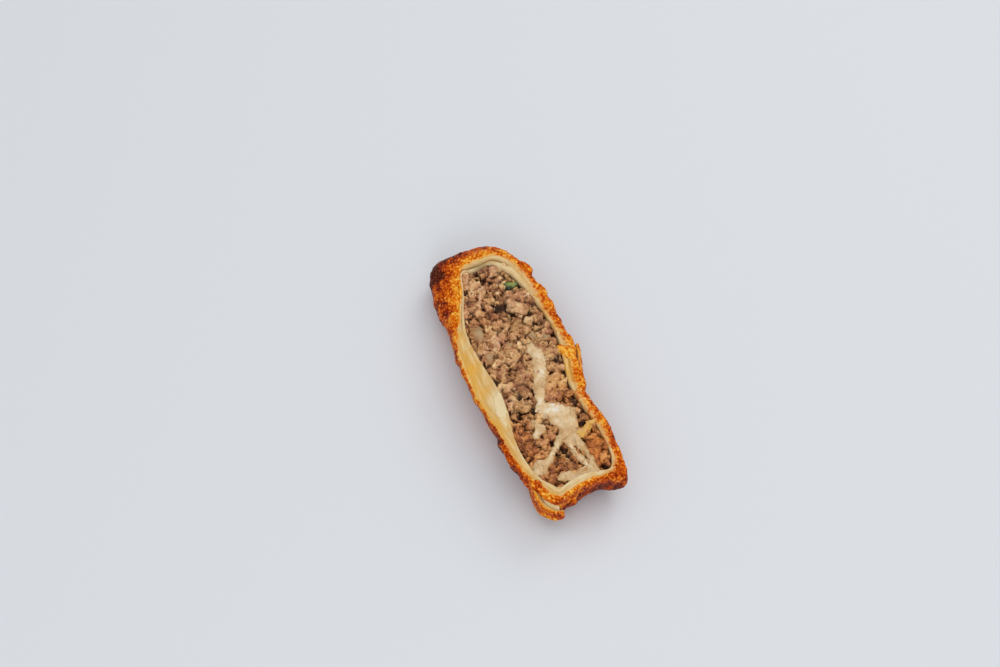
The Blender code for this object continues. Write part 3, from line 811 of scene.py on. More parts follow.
def signed_power(value, power):
    return np.sign(value) * np.abs(value) ** power


def loose_values(cooked, richness, browning):
    """What the wrapper's finish reads, for a loose piece that has no cut edge of its own."""
    none = np.zeros(cooked.shape)
    return {
        "fried": cooked, "depth": none, "wall": none + LOOSE_WALL, "gap": none, "streak": none,
        "richness": none + richness, "browning": none + browning,
    }


def swept_path(stations, steps, end, least):
    """A smooth path, its way to the right, and how full it is, which falls off at both ends."""
    path = smooth_path(stations, steps)
    ahead = np.gradient(path[:, :2], axis=0)
    ahead /= np.linalg.norm(ahead, axis=1)[:, None]
    travelled = np.linspace(0.0, 1.0, len(path))
    fullness = np.clip(np.minimum(travelled, 1 - travelled) / end, least, 1.0) ** 0.5
    return path, np.column_stack([ahead[:, 1], -ahead[:, 0]]), fullness


def loose_strip(name, stations, browned, richness):
    """A strip of the outer layer along the stations, with its outside on the right of the way."""
    path, side, rounded = swept_path(stations, STRIP_STEPS, STRIP_END, 0.02)
    angles = 2 * math.pi * np.arange(STRIP_SIDES) / STRIP_SIDES
    wide = signed_power(np.cos(angles), 0.7)
    tall = signed_power(np.sin(angles), 0.4)
    rings = []
    for (x, y, low, high, thick), way, round_off in zip(path, side, rounded):
        high -= 0.5 * (high - low) * (1 - round_off)
        plan = np.array((x, y)) + way * (0.5 * thick * round_off * wide)[:, None]
        rings.append(ring_at(plan, 0.5 * (low + high) + 0.5 * (high - low) * tall))
    grid = np.array(rings)
    waves = waves_at(grid, STRIP_WAVES)
    spread = grid - grid.mean(axis=1, keepdims=True)
    spread /= np.maximum(np.linalg.norm(spread, axis=2), 1e-6)[:, :, None]
    grid += spread * (waves - STRIP_TRIM)[:, :, None]
    outside = np.broadcast_to(wide, grid.shape[:2])
    top = np.clip(np.broadcast_to(tall, grid.shape[:2]), 0, 1)
    cooked = np.clip(0.8 + 0.6 * outside - 0.3 * top ** 4, 0.0, 1.0) * browned
    browning = 0.45 - 0.2 * top ** 3 + 0.1 * outside
    piece = skin_of(name, grid, loose_values(cooked, richness, browning))
    run_tree(piece, bubbles, {
        "Seed": 0.3, "Finish": wrapper_finish,
        "Bubble Height": 0.25 * MM, "Grain Height": 0.18 * MM,
    })
    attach(piece, "root")
    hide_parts("wrapper")


loose_strip("loose_tail", TAIL_STATIONS, 1.0, 0.1)
loose_strip("side_lip", LIP_STATIONS, 1.0, 0.5)
loose_strip("tail_layer", LAYER_STATIONS, 0.0, -0.1)


# Scraps on the rim: on the left a pale leaf of a loosened inner layer and a fried knob where the
# tail starts, on the right a golden fried curl and a crumb of dough. Each is a thin lump, made of
# a ball and creased.
SCRAP_ROWS = 26
SCRAP_SIDES = 72
SCRAP_SINK = 0.55
SCRAP_LOWERED = 0.1
SCRAP_WAVES = ((3.0, 0.4), (1.0, 0.15))
# Each scrap: along, across, length, width, height over the cut, turn, and how fried, how rich and
# how brown it is.
RIM_SCRAPS = (
    ("pale_leaf", 12.6, -14.9, 14.0, 4.0, 0.3, -11.0, 0.0, -0.25, 0.3),
    ("golden_curl", 0.4, 16.0, 7.4, 3.6, 0.88, 30.0, 1.0, 0.9, 0.3),
    ("golden_crumb", 32.6, 6.9, 3.4, 2.4, 0.55, 20.0, 0.0, 0.36, 0.3),
    ("tail_knob", 45.2, -15.4, 4.2, 3.4, 0.3, 20.0, 1.0, 0.9, 0.62),
)


def ball_grid(rows, sides, pole, fullness, along_power, across_power):
    """A ball of half size 1 as a grid of rings, made squarer or sharper by the powers."""
    level = np.cos(math.pi * (np.arange(rows + 1) + pole) / (rows + 2 * pole))[:, None]
    angles = 2 * math.pi * np.arange(sides)[None, :] / sides
    across = np.sqrt(np.maximum(1 - level * level, 0.0)) ** fullness
    along = across * signed_power(np.cos(angles), along_power)
    across = across * signed_power(np.sin(angles), across_power)
    return np.stack(np.broadcast_arrays(along, across, level), axis=-1)


def turned_to(plan, turn, x, y):
    """A plan that is turned by some degrees and moved to its place."""
    angle = math.radians(turn)
    spin = np.array(((math.cos(angle), math.sin(angle)), (-math.sin(angle), math.cos(angle))))
    return plan @ spin + (x, y)


for name, x, y, length, width, height, turn, cooked, richness, browned in RIM_SCRAPS:
    grid = ball_grid(SCRAP_ROWS, SCRAP_SIDES, 0.02, 1.0, 1.1, 1.0)
    grid *= (0.5 * length, 0.5 * width, height + SCRAP_SINK)
    grid[:, :, :2] *= (1 + waves_at(grid, SCRAP_WAVES))[:, :, None]
    grid[:, :, 2] *= 1 + 0.5 * noise_at(grid, 1.2)
    grid[:, :, 2] = np.minimum(grid[:, :, 2], height)
    grid[:, :, :2] = turned_to(grid[:, :, :2], turn, x, y)
    grid[:, :, 2] += CUT_HEIGHT - SCRAP_LOWERED
    scrap = skin_of(name, grid, loose_values(np.full(grid.shape[:2], cooked), richness, browned))
    run_tree(scrap, bubbles, {
        "Seed": 0.7, "Finish": wrapper_finish,
        "Bubble Height": 0.15 * MM, "Grain Height": 0.16 * MM,
    })
    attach(scrap, "root")
    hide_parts("wrapper")


# The chopped beef: griddled meat, chopped fine, pressed together and sliced level by the knife.
# Its core fills the trough and is torn and pitted on top. Crumbs and lumps of true size are
# scattered on it and pressed in, with open cracks between them.
BEEF_RIM_COUNT = 700
BEEF_TOP_ROWS = 88
BEEF_DROP = 0.35
BEEF_OVERLAP = 0.25
PIT_COUNT = 120
PIT_REACH = (0.35, 0.75)
PIT_DEPTH = (1.4, 2.6)
WALL_GAP = 1.5
WALL_GAP_REACH = 0.9
CRUMB_MARGIN = 1.0
TOP_CLOSING = 0.985
BED_DEPTH = 1.6
MEAT_WAVES = ((4.0, 0.45), (1.3, 0.3))
CORE_LOW_ROWS = 8
# Each vegetable in the filling: its node, along, across, length, width, depth, turn.
VEGETABLES = (
    ("green_pepper",) + PEPPER,
    ("onion_1", -19.2, -9.9, 7.0, 4.2, 4.0, -8.0),
    ("onion_2", -8.2, -10.3, 4.4, 3.2, 4.0, 0.0),
    ("onion_3", -10.9, 7.6, 4.0, 3.2, 4.0, 24.0),
    ("onion_4", -10.7, -1.3, 2.4, 2.0, 3.0, 60.0),
    ("onion_5", -8.6, 11.8, 3.6, 2.6, 4.0, 80.0),
)
# Each crack: along, across, its reach and its depth.
CRACKS = (
    (-40.6, 5.5, 1.4, 1.6), (-31.0, -7.9, 1.2, 1.6), (-27.6, 0.4, 1.8, 2.8),
    (-26.4, 2.8, 1.7, 2.8), (-23.6, 2.4, 1.4, 2.2), (-23.6, 5.2, 1.6, 2.5),
    (-22.6, 7.6, 1.5, 2.4), (-20.8, 9.9, 1.6, 2.3), (-23.6, 15.0, 1.4, 1.6),
    (-20.9, 15.8, 1.2, 1.4), (-16.8, 14.6, 1.4, 1.6), (-16.1, 10.8, 1.5, 1.8),
    (-9.4, 14.6, 1.3, 1.6), (-4.0, 14.2, 1.3, 1.4), (-5.8, -11.6, 1.3, 1.6),
    (-3.6, -12.8, 1.1, 1.4), (1.9, -11.6, 1.5, 1.6), (5.3, -7.2, 1.6, 2.0),
    (9.6, -7.6, 1.8, 2.0), (11.1, -3.9, 1.6, 2.0), (6.0, -0.4, 1.0, 2.0),
    (1.1, 11.5, 1.4, 2.2), (6.1, 11.8, 1.4, 2.2), (13.5, 11.3, 1.6, 2.2),
    (16.7, 11.2, 1.6, 2.2), (19.2, 10.6, 1.4, 2.0), (23.9, 12.6, 1.6, 2.0),
    (28.4, 9.4, 1.5, 2.2), (16.5, -8.0, 1.2, 2.2), (16.3, -6.3, 1.2, 2.2),
    (17.5, -4.6, 1.0, 2.0), (18.0, -9.7, 1.0, 2.0), (23.9, -1.6, 1.0, 1.8),
    (25.0, -2.9, 0.9, 1.6), (29.8, -1.2, 1.2, 2.2), (31.7, -3.4, 1.2, 2.2),
    (31.4, -6.0, 1.0, 2.0), (30.5, -9.0, 1.2, 2.0), (33.8, 0.4, 1.2, 2.4),
    (34.6, -2.4, 1.3, 2.4), (36.4, -0.9, 1.4, 2.4), (38.3, -0.2, 1.1, 2.4),
    (37.8, -5.6, 1.0, 2.2), (42.6, 1.6, 1.0, 2.0), (41.8, -8.8, 1.1, 1.8),
    (45.0, -0.6, 1.2, 1.8), (47.0, 9.6, 1.3, 2.0),
)
# Where the meat took an orange brown from the fried dough and grease: along, across, up, reach
# and how much.
WARM_PLACES = (
    (11.9, 8.3, 17.0, 6.0, 0.45),
    (20.0, 8.5, 17.0, 5.0, 0.3),
    (37.1, 10.5, 17.0, 6.0, 0.8),
    (44.0, 8.0, 17.0, 5.0, 0.5),
    (44.0, -6.0, 17.0, 6.0, 0.5),
    (-24.0, -6.0, 17.0, 5.0, 0.25),
    (24.0, -13.0, 17.0, 6.0, 0.5),
    (33.0, -12.5, 17.0, 6.0, 0.4),
)
beef_rim = evenly(rim, BEEF_RIM_COUNT)
beef_keel, beef_out = rim_rays(beef_rim)
beef_edge = beef_rim[:, :2] - beef_out * (beef_rim[:, 2:3] - BEEF_OVERLAP)
beef_room = np.linalg.norm(beef_edge - beef_keel, axis=1)
draw = random.Random(21)
pits = list(CRACKS)
for _ in range(PIT_COUNT):
    pick = draw.randrange(BEEF_RIM_COUNT)
    place = beef_keel[pick] + (beef_edge[pick] - beef_keel[pick]) * draw.uniform(0.05, 0.95)
    pits.append((place[0], place[1], draw.uniform(*PIT_REACH), draw.uniform(*PIT_DEPTH)))
top_rings, crumbly_rings = [], []
for row in range(BEEF_TOP_ROWS):
    share = 1 - TOP_CLOSING * row / (BEEF_TOP_ROWS - 1)
    ring = ring_at(beef_keel + (beef_edge - beef_keel) * share, CUT_HEIGHT - BEEF_DROP)
    sunk = np.zeros(len(ring))
    for x, y, reach, low in pits:
        away = np.hypot(ring[:, 0] - x, ring[:, 1] - y)
        sunk = np.maximum(sunk, low * bell(away / reach))
    room = beef_room * (1 - share)
    for node, x, y, length, width, deep, turn in VEGETABLES:
        ahead, aside = math.cos(math.radians(turn)), math.sin(math.radians(turn))
        along = ((ring[:, 0] - x) * ahead + (ring[:, 1] - y) * aside) / (0.5 * length)
        across = ((ring[:, 1] - y) * ahead - (ring[:, 0] - x) * aside) / (0.5 * width)
        sunk = np.maximum(sunk, BED_DEPTH * np.clip(1.1 - np.hypot(along, across), 0, 0.5) / 0.5)
    to_right = 0.25 + 0.75 * np.clip(ring[:, 1] / 8.0, 0, 1)
    gap = WALL_GAP * to_right * (1 + 0.9 * noise_at(ring, 5.0))
    ring[:, 2] -= sunk + gap * bell(room / WALL_GAP_REACH)
    ring[:, 2] += waves_at(ring, MEAT_WAVES)
    top_rings.append(ring)
    inside = np.clip((room - CRUMB_MARGIN) / 0.3, 0, 1)
    crumbly_rings.append(inside * np.clip(1.4 - sunk, 0.0, 1.0))
low_rings = belly_rings(
    beef_edge, beef_keel + beef_out * (TROUGH_FLAT - BEEF_OVERLAP), top_rings[0][:, 2],
    TROUGH_FLOOR - BEEF_OVERLAP, CORE_LOW_ROWS, TROUGH_SQUARENESS,
)
beef_grid = np.array(low_rings[::-1] + top_rings)
crumbly = np.vstack([np.zeros((len(low_rings), BEEF_RIM_COUNT)), np.array(crumbly_rings)])
beef_core = skin_of("beef_core", beef_grid, {
    "crumbly": crumbly,
    "warmth": level_at(beef_grid, 0.0, WARM_PLACES),
    "shade": 0.5 + 0.2 * noise_at(beef_grid, 1.6),
})

# The crumbs are small balls, stretched, turned, roughened and then sliced at the cut.
crumbs, given = start_tree("chopped_crumbs", (
    ("Spacing", "Float", 1.2 * MM),
    ("Smallest", "Float", 0.6 * MM),
    ("Largest", "Float", 1.3 * MM),
    ("Roundness", "Int", 2),
    ("Roughness", "Float", 0.9 * MM),
    ("Rise", "Float", 0.9 * MM),
    ("Cut Height", "Float", CUT_HEIGHT * MM),
    ("Seed", "Int", 0),
    ("Finish", "Material", None),
))
# The middle of a noise's colour, which is taken from it to push a surface evenly either way.
MIDDLE_GREY = (0.5, 0.5, 0.5)


def random_value(tree, low, high, seed):
    """A random number, or a random vector, for each crumb."""
    vector = isinstance(low, tuple)
    inputs = {0 if vector else 2: low, 1 if vector else 3: high, "Seed": seed}
    kind = "FLOAT_VECTOR" if vector else "FLOAT"
    node = add(tree, "FunctionNodeRandomValue", inputs, data_type=kind)
    return node.outputs[0 if vector else 1]


def upright(tree, height):
    return add(tree, "ShaderNodeCombineXYZ", {"Z": height}).outputs[0]


points = add(crumbs, "GeometryNodeDistributePointsOnFaces", {
    "Mesh": given["Geometry"], "Distance Min": given["Spacing"], "Density Max": 4.0e6,
    "Density Factor": read_attribute(crumbs, "crumbly"), "Seed": given["Seed"],
}, distribute_method="POISSON")
risen = moved_by(crumbs, points.outputs["Points"], upright(crumbs, given["Rise"]))
size = random_value(crumbs, given["Smallest"], given["Largest"], given["Seed"])
stretch = random_value(crumbs, (0.7, 0.6, 0.6), (1.7, 1.1, 0.9), 7)
turn = random_value(crumbs, (-0.5, -0.5, -3.1), (0.5, 0.5, 3.1), 3)
ball_inputs = {"Radius": 1.0, "Subdivisions": given["Roundness"]}
ball = add(crumbs, "GeometryNodeMeshIcoSphere", ball_inputs)
placed = add(crumbs, "GeometryNodeInstanceOnPoints", {
    "Points": risen, "Instance": ball.outputs[0], "Rotation": turn,
    "Scale": vector_node(crumbs, "SCALE", stretch, size),
}).outputs[0]
toned = stored(crumbs, placed, "shade", random_value(crumbs, 0.0, 1.0, 5), "INSTANCE")
realized = add(crumbs, "GeometryNodeRealizeInstances", {0: toned}).outputs[0]
place = add(crumbs, "GeometryNodeInputPosition").outputs[0]
rough = noise_node(crumbs, place, 520.0, 2.0, 0.7)["Color"]
push = vector_node(crumbs, "SUBTRACT", rough, MIDDLE_GREY)
push = vector_node(crumbs, "SCALE", push, given["Roughness"])
roughened = moved_by(crumbs, realized, push)
uneven = noise_node(crumbs, place, 380.0, 3.0)["Fac"]
uneven = mapped(crumbs, uneven, 0.3, 0.7, -0.7 * MM, 0.3 * MM)
slice_height = plus(crumbs, given["Cut Height"], uneven)
above = math_node(crumbs, "SUBTRACT", parts_of(crumbs, place)["Z"], slice_height)
above = math_node(crumbs, "MAXIMUM", above, 0.0)
lowered = upright(crumbs, times(crumbs, above, -0.82))
sliced = moved_by(crumbs, roughened, lowered)
end_tree(crumbs, given, add(crumbs, "GeometryNodeSetShadeSmooth", {0: sliced}).outputs[0])

# The meat is one coarse mass with torn cracks between some of its lumps and small open pores. The
# tree roughens, tears and pits the top, the same way in the core and in the crumbs on it, and
# keeps a tone that is paler where the top stands higher, as painted light, and darker where it is
# low, as painted shade.
broken, given = start_tree("broken_meat", (
    ("Lump Size", "Float", 4.2 * MM),
    ("Crack Width", "Float", 0.12),
    ("Crack Depth", "Float", 2.0 * MM),
    ("Roughness", "Float", 1.1 * MM),
    ("Pore Depth", "Float", 2.0 * MM),
    ("Waver", "Float", 4.5 * MM),
    ("Cut Height", "Float", CUT_HEIGHT * MM),
    ("Finish", "Material", None),
))
parts = parts_of(broken, add(broken, "GeometryNodeInputPosition").outputs[0])
level_place = add(broken, "ShaderNodeCombineXYZ", {"X": parts["X"], "Y": parts["Y"]}).outputs[0]


def meat_noise(scale, detail, roughness=0.6):
    return noise_node(broken, level_place, scale, detail, roughness)


def meat_cells(feature, output):
    cells = add(broken, "ShaderNodeTexVoronoi", lumps, feature=feature, voronoi_dimensions="2D")
    return cells.outputs[output]


waver = vector_node(broken, "SUBTRACT", meat_noise(330.0, 3.0)["Color"], MIDDLE_GREY)
waver = vector_node(broken, "SCALE", waver, given["Waver"])
lumps = {
    "Vector": vector_node(broken, "ADD", level_place, waver),
    "Scale": math_node(broken, "DIVIDE", 1.0, given["Lump Size"]),
}
between = meat_cells("DISTANCE_TO_EDGE", "Distance")
crack = math_node(broken, "DIVIDE", between, given["Crack Width"])
crack = math_node(broken, "SUBTRACT", 1.0, math_node(broken, "MINIMUM", crack, 1.0))
torn_here = mapped(broken, meat_noise(170.0, 2.0)["Fac"], 0.42, 0.52)
crack = times(broken, crack, torn_here)
lump_tone = parts_of(broken, meat_cells("F1", "Color"))["X"]
pore = times(
    broken, mapped(broken, meat_noise(430.0, 2.0)["Fac"], 0.44, 0.36),
    mapped(broken, meat_noise(120.0, 1.0)["Fac"], 0.4, 0.55, 0.35, 1.0),
)
slab = mapped(broken, meat_noise(140.0, 1.0)["Fac"], 0.4, 0.58, 1.0, 0.25)
rough = math_node(broken, "SUBTRACT", meat_noise(480.0, 2.0, 0.5)["Fac"], 0.5)
rough = plus(broken, times(broken, rough, slab), 0.5)
relief = mapped(broken, rough, 0.3, 0.7, 0.6, -0.3)
sink = math_node(
    broken, "MAXIMUM", times(broken, crack, given["Crack Depth"]),
    times(broken, pore, given["Pore Depth"]),
)
sink = plus(
    broken, sink, times(broken, relief, given["Roughness"]),
    mapped(broken, lump_tone, 0.0, 1.0, 0.35 * MM, -0.1 * MM),
)
from_cut = math_node(broken, "SUBTRACT", parts["Z"], given["Cut Height"])
near_cut = mapped(broken, from_cut, -3.5 * MM, -2.0 * MM)
sunken = upright(broken, times(broken, sink, near_cut, -1.0))
own = times(broken, read_attribute(broken, "shade"), 0.5)
# Besides each lump's own tone, raised places and higher lumps are made paler, painted light, and
# low places darker, painted shade.
toned = plus(
    broken, mapped(broken, rough, 0.3, 0.7, -0.1, 0.4),
    times(broken, lump_tone, 0.3),
)
moved = moved_by(broken, given["Geometry"], sunken)
end_tree(broken, given, stored(broken, moved, "shade", plus(broken, own, toned)))


def tinted(tree, colour, tint):
    return mix_colours(tree, 1.0, colour, srgb(*tint), "MULTIPLY")


# The meat's finish: brown to pale tan by the tone kept as its shade, which holds each lump's own
# tone and paler raised tops as painted light, pinker in patches, warmer beside the fried dough, a
# little browner towards the near end, and darkened in its cracks and low places as painted shade.
beef_finish, tree, shader = new_material("chopped_beef")
fibre, _ = grain_node(tree, 1.3 * MM)
fine, fine_height = grain_node(tree, 0.55 * MM)
patchy, _ = grain_node(tree, 7.0 * MM)
tone = plus(
    tree, read_attribute(tree, "shade"), swing(tree, fibre, 0.3), swing(tree, fine, 0.12)
)
meat = ramp(tree, tone, (
    (0.0, (108, 64, 34)),
    (0.3, (170, 116, 66)),
    (0.5, (204, 151, 95)),
    (0.75, (234, 188, 128)),
    (1.0, (250, 218, 164)),
))
warm, pink = tinted(tree, meat, (255, 204, 122)), tinted(tree, meat, (238, 220, 232))
parts = parts_of(tree, add(tree, "ShaderNodeTexCoord").outputs["Object"])
meat = mix_colours(tree, mapped(tree, patchy, 0.42, 0.6), meat, pink)
meat = mix_colours(tree, read_attribute(tree, "warmth"), meat, warm)
near_end = mapped(tree, parts["X"], 14.0 * MM, 28.0 * MM)
meat = mix_colours(tree, near_end, meat, tinted(tree, meat, (242, 226, 206)))
# Darkening by depth below the cut is painted shade in the cracks, pores and low places.
sunk = mapped(tree, parts["Z"], (CUT_HEIGHT - 2.2) * MM, (CUT_HEIGHT - 0.85) * MM, 0.9, 0.0)
give(tree, shader, {
    "Base Color": mix_colours(tree, sunk, meat, srgb(50, 22, 15)),
    "Roughness": mapped(tree, fibre, 0.3, 0.7, 0.32, 0.6),
    "Specular IOR Level": 0.35,
    "Normal": bump(tree, fine_height, 0.35, 0.3 * MM),
    "Subsurface Weight": 0.08,
    "Subsurface Radius": (1.0, 0.4, 0.25),
    "Subsurface Scale": 0.8 * MM,
})

# Each size of crumb: its spacing, smallest and largest size, roundness, roughness, rise and seed.
CRUMB_SIZES = (
    ("beef_crumbs", 2.1, 0.35, 0.8, 2, 1.1, 0.1, 4),
    ("beef_lumps", 3.2, 1.2, 2.7, 3, 2.6, -0.4, 9),
)
for name, spacing, smallest, largest, roundness, roughness, rise, seed in CRUMB_SIZES:
    piece = bpy.data.objects.new(name, beef_core.data.copy())
    bpy.context.scene.collection.objects.link(piece)
    run_tree(piece, crumbs, {
        "Spacing": spacing * MM, "Smallest": smallest * MM, "Largest": largest * MM,
        "Roundness": roundness, "Roughness": roughness * MM, "Rise": rise * MM,
        "Seed": seed, "Finish": beef_finish,
    })
    run_tree(piece, broken, {"Finish": beef_finish})
    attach(piece, "root")
    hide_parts("beef_filling")
run_tree(beef_core, broken, {"Finish": beef_finish})
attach(beef_core, "root")
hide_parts("beef_filling")


# The melted cheese: a pulled vein down the middle of the cut, with strands to both near corners,
# a bridge to the right wall, thin films and a small patch of its own. The strands are joined into
# one skin, which is softened and then made lumpy, as cooled cheese is.
CHEESE_TOP = 0.4
CHEESE_DEPTH = 2.2
CHEESE_GRAIN = 0.28
SKIRT_SPREAD = 0.6
SKIRT_TOP = -0.1
FILM_TOP = 0.02
FILM_SPREAD = 0.5
CHEESE_SUNK = 0.15
STRAND_STEPS = 12
STRAND_SIDES = 20
STRAND_END = 0.06
# Each cheese station: along, across, half width.
CHEESE_STRANDS = (
    ((-8.6, 5.8, 0.5), (-6.3, 5.2, 1.0), (-3.0, 5.8, 1.5), (1.4, 4.9, 2.0), (6.4, 3.0, 2.1),
     (11.0, 1.1, 1.7), (14.6, -0.6, 1.1), (17.0, -0.9, 1.5), (20.0, 0.9, 2.4), (23.5, 2.9, 3.2),
     (27.0, 3.9, 2.9), (30.2, 4.0, 2.1), (33.0, 3.2, 1.6)),
    ((17.2, 0.6, 0.9), (20.2, 4.4, 1.5), (23.2, 7.0, 1.5), (26.4, 6.8, 1.2), (29.4, 6.0, 0.9)),
    ((29.6, 2.4, 1.3), (32.6, -1.2, 0.7), (35.6, -5.2, 0.6), (37.9, -8.0, 1.0),
     (39.6, -11.2, 2.3), (41.8, -13.4, 1.0)),
    ((31.6, 4.8, 1.2), (35.0, 4.9, 0.8), (38.0, 5.5, 0.6), (41.7, 6.0, 0.5), (46.0, 6.3, 0.5),
     (48.4, 6.9, 0.4)),
    ((32.4, 2.2, 0.9), (36.7, 2.1, 0.4), (40.6, 3.0, 0.35), (44.1, 4.0, 0.35), (47.4, 5.0, 0.4)),
    ((31.4, 5.6, 1.0), (32.0, 8.4, 0.8), (30.4, 11.4, 0.8), (29.6, 14.0, 0.7)),
)
CHEESE_FILMS = (
    ((16.8, -0.4, 1.4), (18.6, -2.2, 1.0), (22.0, -1.6, 0.6)),
    ((45.2, -7.4, 0.8), (46.6, -3.6, 1.4), (47.0, 0.4, 1.6), (47.4, 3.8, 1.4), (49.0, 6.6, 0.8)),
)
SMALL_CHEESE = (
    ((23.6, -5.8, 0.7), (25.4, -5.2, 1.1), (26.8, -3.8, 0.6)),
    ((21.4, -6.8, 0.4), (23.0, -5.8, 0.6), (26.0, -6.8, 0.6), (28.6, -8.0, 0.4)),
)


def cheese_strand(stations, spread=0.0, top=CHEESE_TOP):
    """The closed skin of one strand, round across, level on top and pointed at both ends."""
    wider = [(x, y, half + spread) for x, y, half in stations]
    path, side, blunt = swept_path(wider, STRAND_STEPS, STRAND_END, 0.03)
    angles = 2 * math.pi * np.arange(STRAND_SIDES) / STRAND_SIDES
    level = np.sin(angles)
    profile = np.where(level > 0, top * np.sqrt(np.abs(level)), CHEESE_DEPTH * level)
    rings = []
    for (x, y, half), way, share in zip(path, side, blunt):
        plan = (x, y) - way * (half * share * np.cos(angles))[:, None]
        rings.append(ring_at(plan, CUT_HEIGHT - CHEESE_SUNK + profile * min(1.0, 0.4 + half)))
    return rings


lumpy, given = start_tree("lumpy_cheese", (
    ("Pull Size", "Float", 2.6 * MM),
    ("Pull Reach", "Float", 2.8 * MM),
    ("Shred Size", "Float", 0.9 * MM),
    ("Shred Reach", "Float", 1.1 * MM),
    ("Lump Height", "Float", 0.9 * MM),
    ("Finish", "Material", None),
))
place = add(lumpy, "GeometryNodeInputPosition").outputs[0]
normal = add(lumpy, "GeometryNodeInputNormal").outputs[0]


def pulled(size, reach):
    """A sideways pull that wanders over the given size."""
    way = noise_node(lumpy, place, math_node(lumpy, "DIVIDE", 1.0, size), 1.0)["Color"]
    way = vector_node(lumpy, "SUBTRACT", way, MIDDLE_GREY)
    way = vector_node(lumpy, "MULTIPLY", way, (1.0, 1.0, 0.0))
    return vector_node(lumpy, "SCALE", way, reach)


lump = math_node(lumpy, "SUBTRACT", noise_node(lumpy, place, 500.0, 2.0)["Fac"], 0.5)
lump = times(lumpy, lump, given["Lump Height"])
lifted = vector_node(lumpy, "SCALE", normal, lump)
wide_pull = pulled(given["Pull Size"], given["Pull Reach"])
offset = vector_node(lumpy, "ADD", wide_pull, pulled(given["Shred Size"], given["Shred Reach"]))
offset = vector_node(lumpy, "ADD", offset, lifted)
moved = moved_by(lumpy, given["Geometry"], offset)
end_tree(lumpy, given, add(lumpy, "GeometryNodeSetShadeSmooth", {0: moved}).outputs[0])

# The cheese's finish: milky and glossy, whitest at the bend of the vein where a highlight is
# painted, greyer in its thin near strands, tan along its low edges and golden in the bridge to the
# right wall.
cheese_finish, tree, shader = new_material("melted_cheese")
milky, _ = grain_node(tree, 5.5 * MM)
_, fine_height = grain_node(tree, 0.9 * MM)
parts = parts_of(tree, add(tree, "ShaderNodeTexCoord").outputs["Object"])
# A painted highlight whitens the bend of the vein.
painted_bend_highlight = times(
    tree, mapped(tree, parts["X"], 12.5 * MM, 16.0 * MM),
    mapped(tree, parts["X"], 24.0 * MM, 18.0 * MM), 0.26,
)
tone = plus(
    tree, mapped(tree, milky, 0.34, 0.66, 0.0, 0.9), painted_bend_highlight,
    mapped(tree, parts["X"], 24.0 * MM, 34.0 * MM, 0.0, -0.1),
)
cheese_colour = ramp(tree, tone, (
    (0.0, (196, 152, 92)),
    (0.35, (214, 176, 122)),
    (0.7, (230, 202, 156)),
    (1.0, (242, 230, 208)),
))
low_edge = mapped(tree, parts["Z"], (CUT_HEIGHT - 0.6) * MM, (CUT_HEIGHT + 0.15) * MM, 0.85, 0.0)
cheese_colour = mix_colours(tree, low_edge, cheese_colour, srgb(190, 146, 94))
golden = times(
    tree, mapped(tree, parts["Y"], 7.0 * MM, 9.0 * MM),
    mapped(tree, parts["X"], 27.0 * MM, 29.0 * MM),
)
give(tree, shader, {
    "Base Color": mix_colours(tree, golden, cheese_colour, srgb(226, 172, 78)),
    "Roughness": 0.28,
    "Coat Weight": 0.3,
    "Normal": bump(tree, fine_height, 0.25, 0.25 * MM),
    "Subsurface Weight": 0.4,
    "Subsurface Radius": (1.0, 0.75, 0.45),
    "Subsurface Scale": 1.2 * MM,
})


def join_skins(name, strands, films):
    """One object with the closed skins of all the strands, each with a thin skirt round it."""
    rings = [cheese_strand(strand) for strand in strands]
    rings += [cheese_strand(strand, SKIRT_SPREAD, SKIRT_TOP) for strand in strands]
    rings += [cheese_strand(film, FILM_SPREAD, FILM_TOP) for film in films]
    skins = [skin_of(name, grid, {}) for grid in rings]
    work = bmesh.new()
    for skin in skins:
        work.from_mesh(skin.data)
    for skin in skins[1:]:
        bpy.data.objects.remove(skin)
    work.to_mesh(skins[0].data)
    work.free()
    return skins[0]


for name, node, strands, films in (
    ("melted_cheese_vein", "melted_cheese", CHEESE_STRANDS, CHEESE_FILMS),
    ("small_cheese_patch", "small_cheese", SMALL_CHEESE, ()),
):
    piece = join_skins(name, strands, films)
    remesh = piece.modifiers.new("one_skin", "REMESH")
    remesh.mode = "VOXEL"
    remesh.voxel_size = CHEESE_GRAIN * MM
    soften = piece.modifiers.new("soften", "SMOOTH")
    soften.factor = 0.5
    soften.iterations = 3
    run_tree(piece, lumpy, {"Finish": cheese_finish})
    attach(piece, "root")
    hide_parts(node)


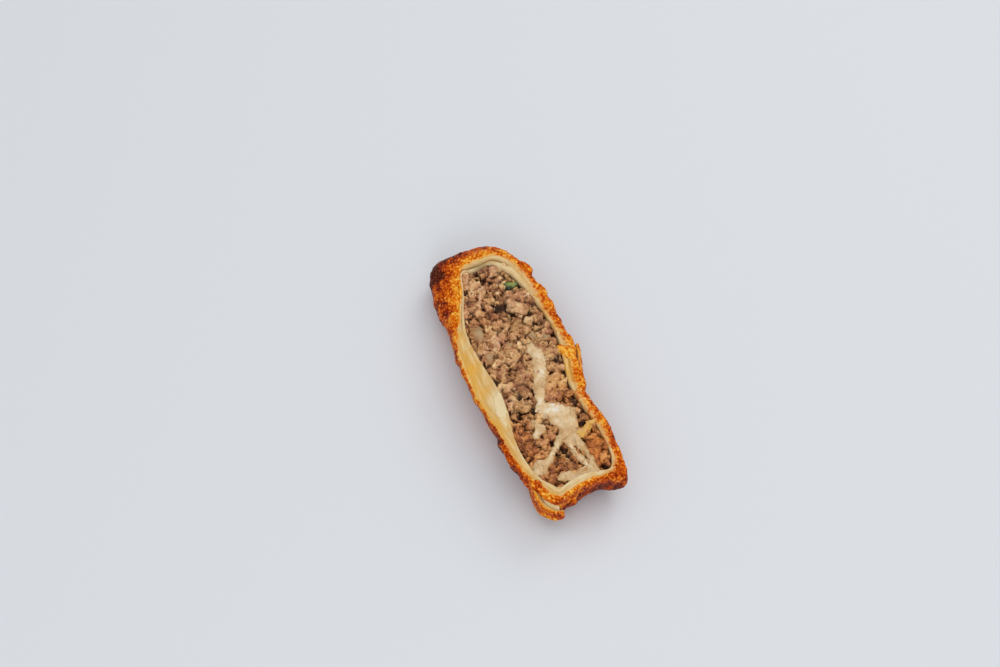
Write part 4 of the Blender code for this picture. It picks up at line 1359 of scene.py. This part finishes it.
# The cut vegetables: one piece of green pepper with its dark skin, and soft pieces of onion that
# the light gets into. Each is a rounded block, bent a little and uneven.
PIECE_TOP = -0.05
PIECE_ROWS = 16
PIECE_SIDES = 48
PIECE_BEND = 0.12
PIECE_WAVES = ((1.6, 0.35), (3.2, 0.25), (0.8, 0.25))
pepper_finish, tree, shader = new_material("green_pepper")
fine, _ = grain_node(tree, 1.2 * MM)
rind_share = plus(tree, read_attribute(tree, "rind"), swing(tree, fine, 0.15))
pepper_colour = ramp(tree, rind_share, (
    (0.0, (156, 160, 74)),
    (0.25, (106, 122, 40)),
    (0.5, (62, 78, 20)),
    (0.9, (24, 30, 10)),
))
give(tree, shader, {"Base Color": pepper_colour, "Roughness": 0.4, "Coat Weight": 0.1})

onion_finish, tree, shader = new_material("onion")
milky, milky_height = grain_node(tree, 2.6 * MM)
onion_colour = ramp(tree, milky, (
    (0.32, (146, 122, 84)),
    (0.5, (182, 162, 122)),
    (0.66, (212, 198, 160)),
))
border = plus(tree, read_attribute(tree, "rind"), swing(tree, milky, 0.3))
border = mapped(tree, border, -0.15, 0.5, 0.0, 0.95)
give(tree, shader, {
    "Base Color": mix_colours(tree, border, onion_colour, srgb(180, 130, 84)),
    "Roughness": 0.35,
    "Specular IOR Level": 0.3,
    "Normal": bump(tree, milky_height, 0.3, 0.3 * MM),
    "Subsurface Weight": 0.4,
    "Subsurface Radius": (1.0, 0.8, 0.5),
    "Subsurface Scale": 1.5 * MM,
})

for node, x, y, length, width, deep, turn in VEGETABLES:
    grid = ball_grid(PIECE_ROWS, PIECE_SIDES, 0.05, 0.45, 0.75, 0.75)
    grid[:, :, 2] = 0.5 * signed_power(grid[:, :, 2], 0.7) - 0.5
    grid *= (0.5 * length, 0.5 * width, deep)
    ends, share = np.abs(grid[:, :, 0]) / (0.5 * length), np.abs(grid[:, :, 1]) / (0.5 * width)
    rind = np.maximum(share, ends) ** 3 - 0.25 * grid[:, :, 1] / width + 0.1
    grid[:, :, 1] += PIECE_BEND * width * ends ** 2
    grid[:, :, :2] = turned_to(grid[:, :, :2], turn, x, y)
    grid[:, :, 2] += CUT_HEIGHT + PIECE_TOP
    middle = np.array((x, y, CUT_HEIGHT - 0.5 * deep))
    grid = middle + (grid - middle) * (1 + waves_at(grid, PIECE_WAVES))[:, :, None]
    top = CUT_HEIGHT + PIECE_TOP + 0.15 * noise_at(grid, 1.1)
    grid[:, :, 2] = np.minimum(grid[:, :, 2], top)
    piece = skin_of(node + "_piece", grid, {"rind": np.clip(rind, 0.0, 1.0)})
    piece.data.materials.append(pepper_finish if node == "green_pepper" else onion_finish)
    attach(piece, "root")
    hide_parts(node)
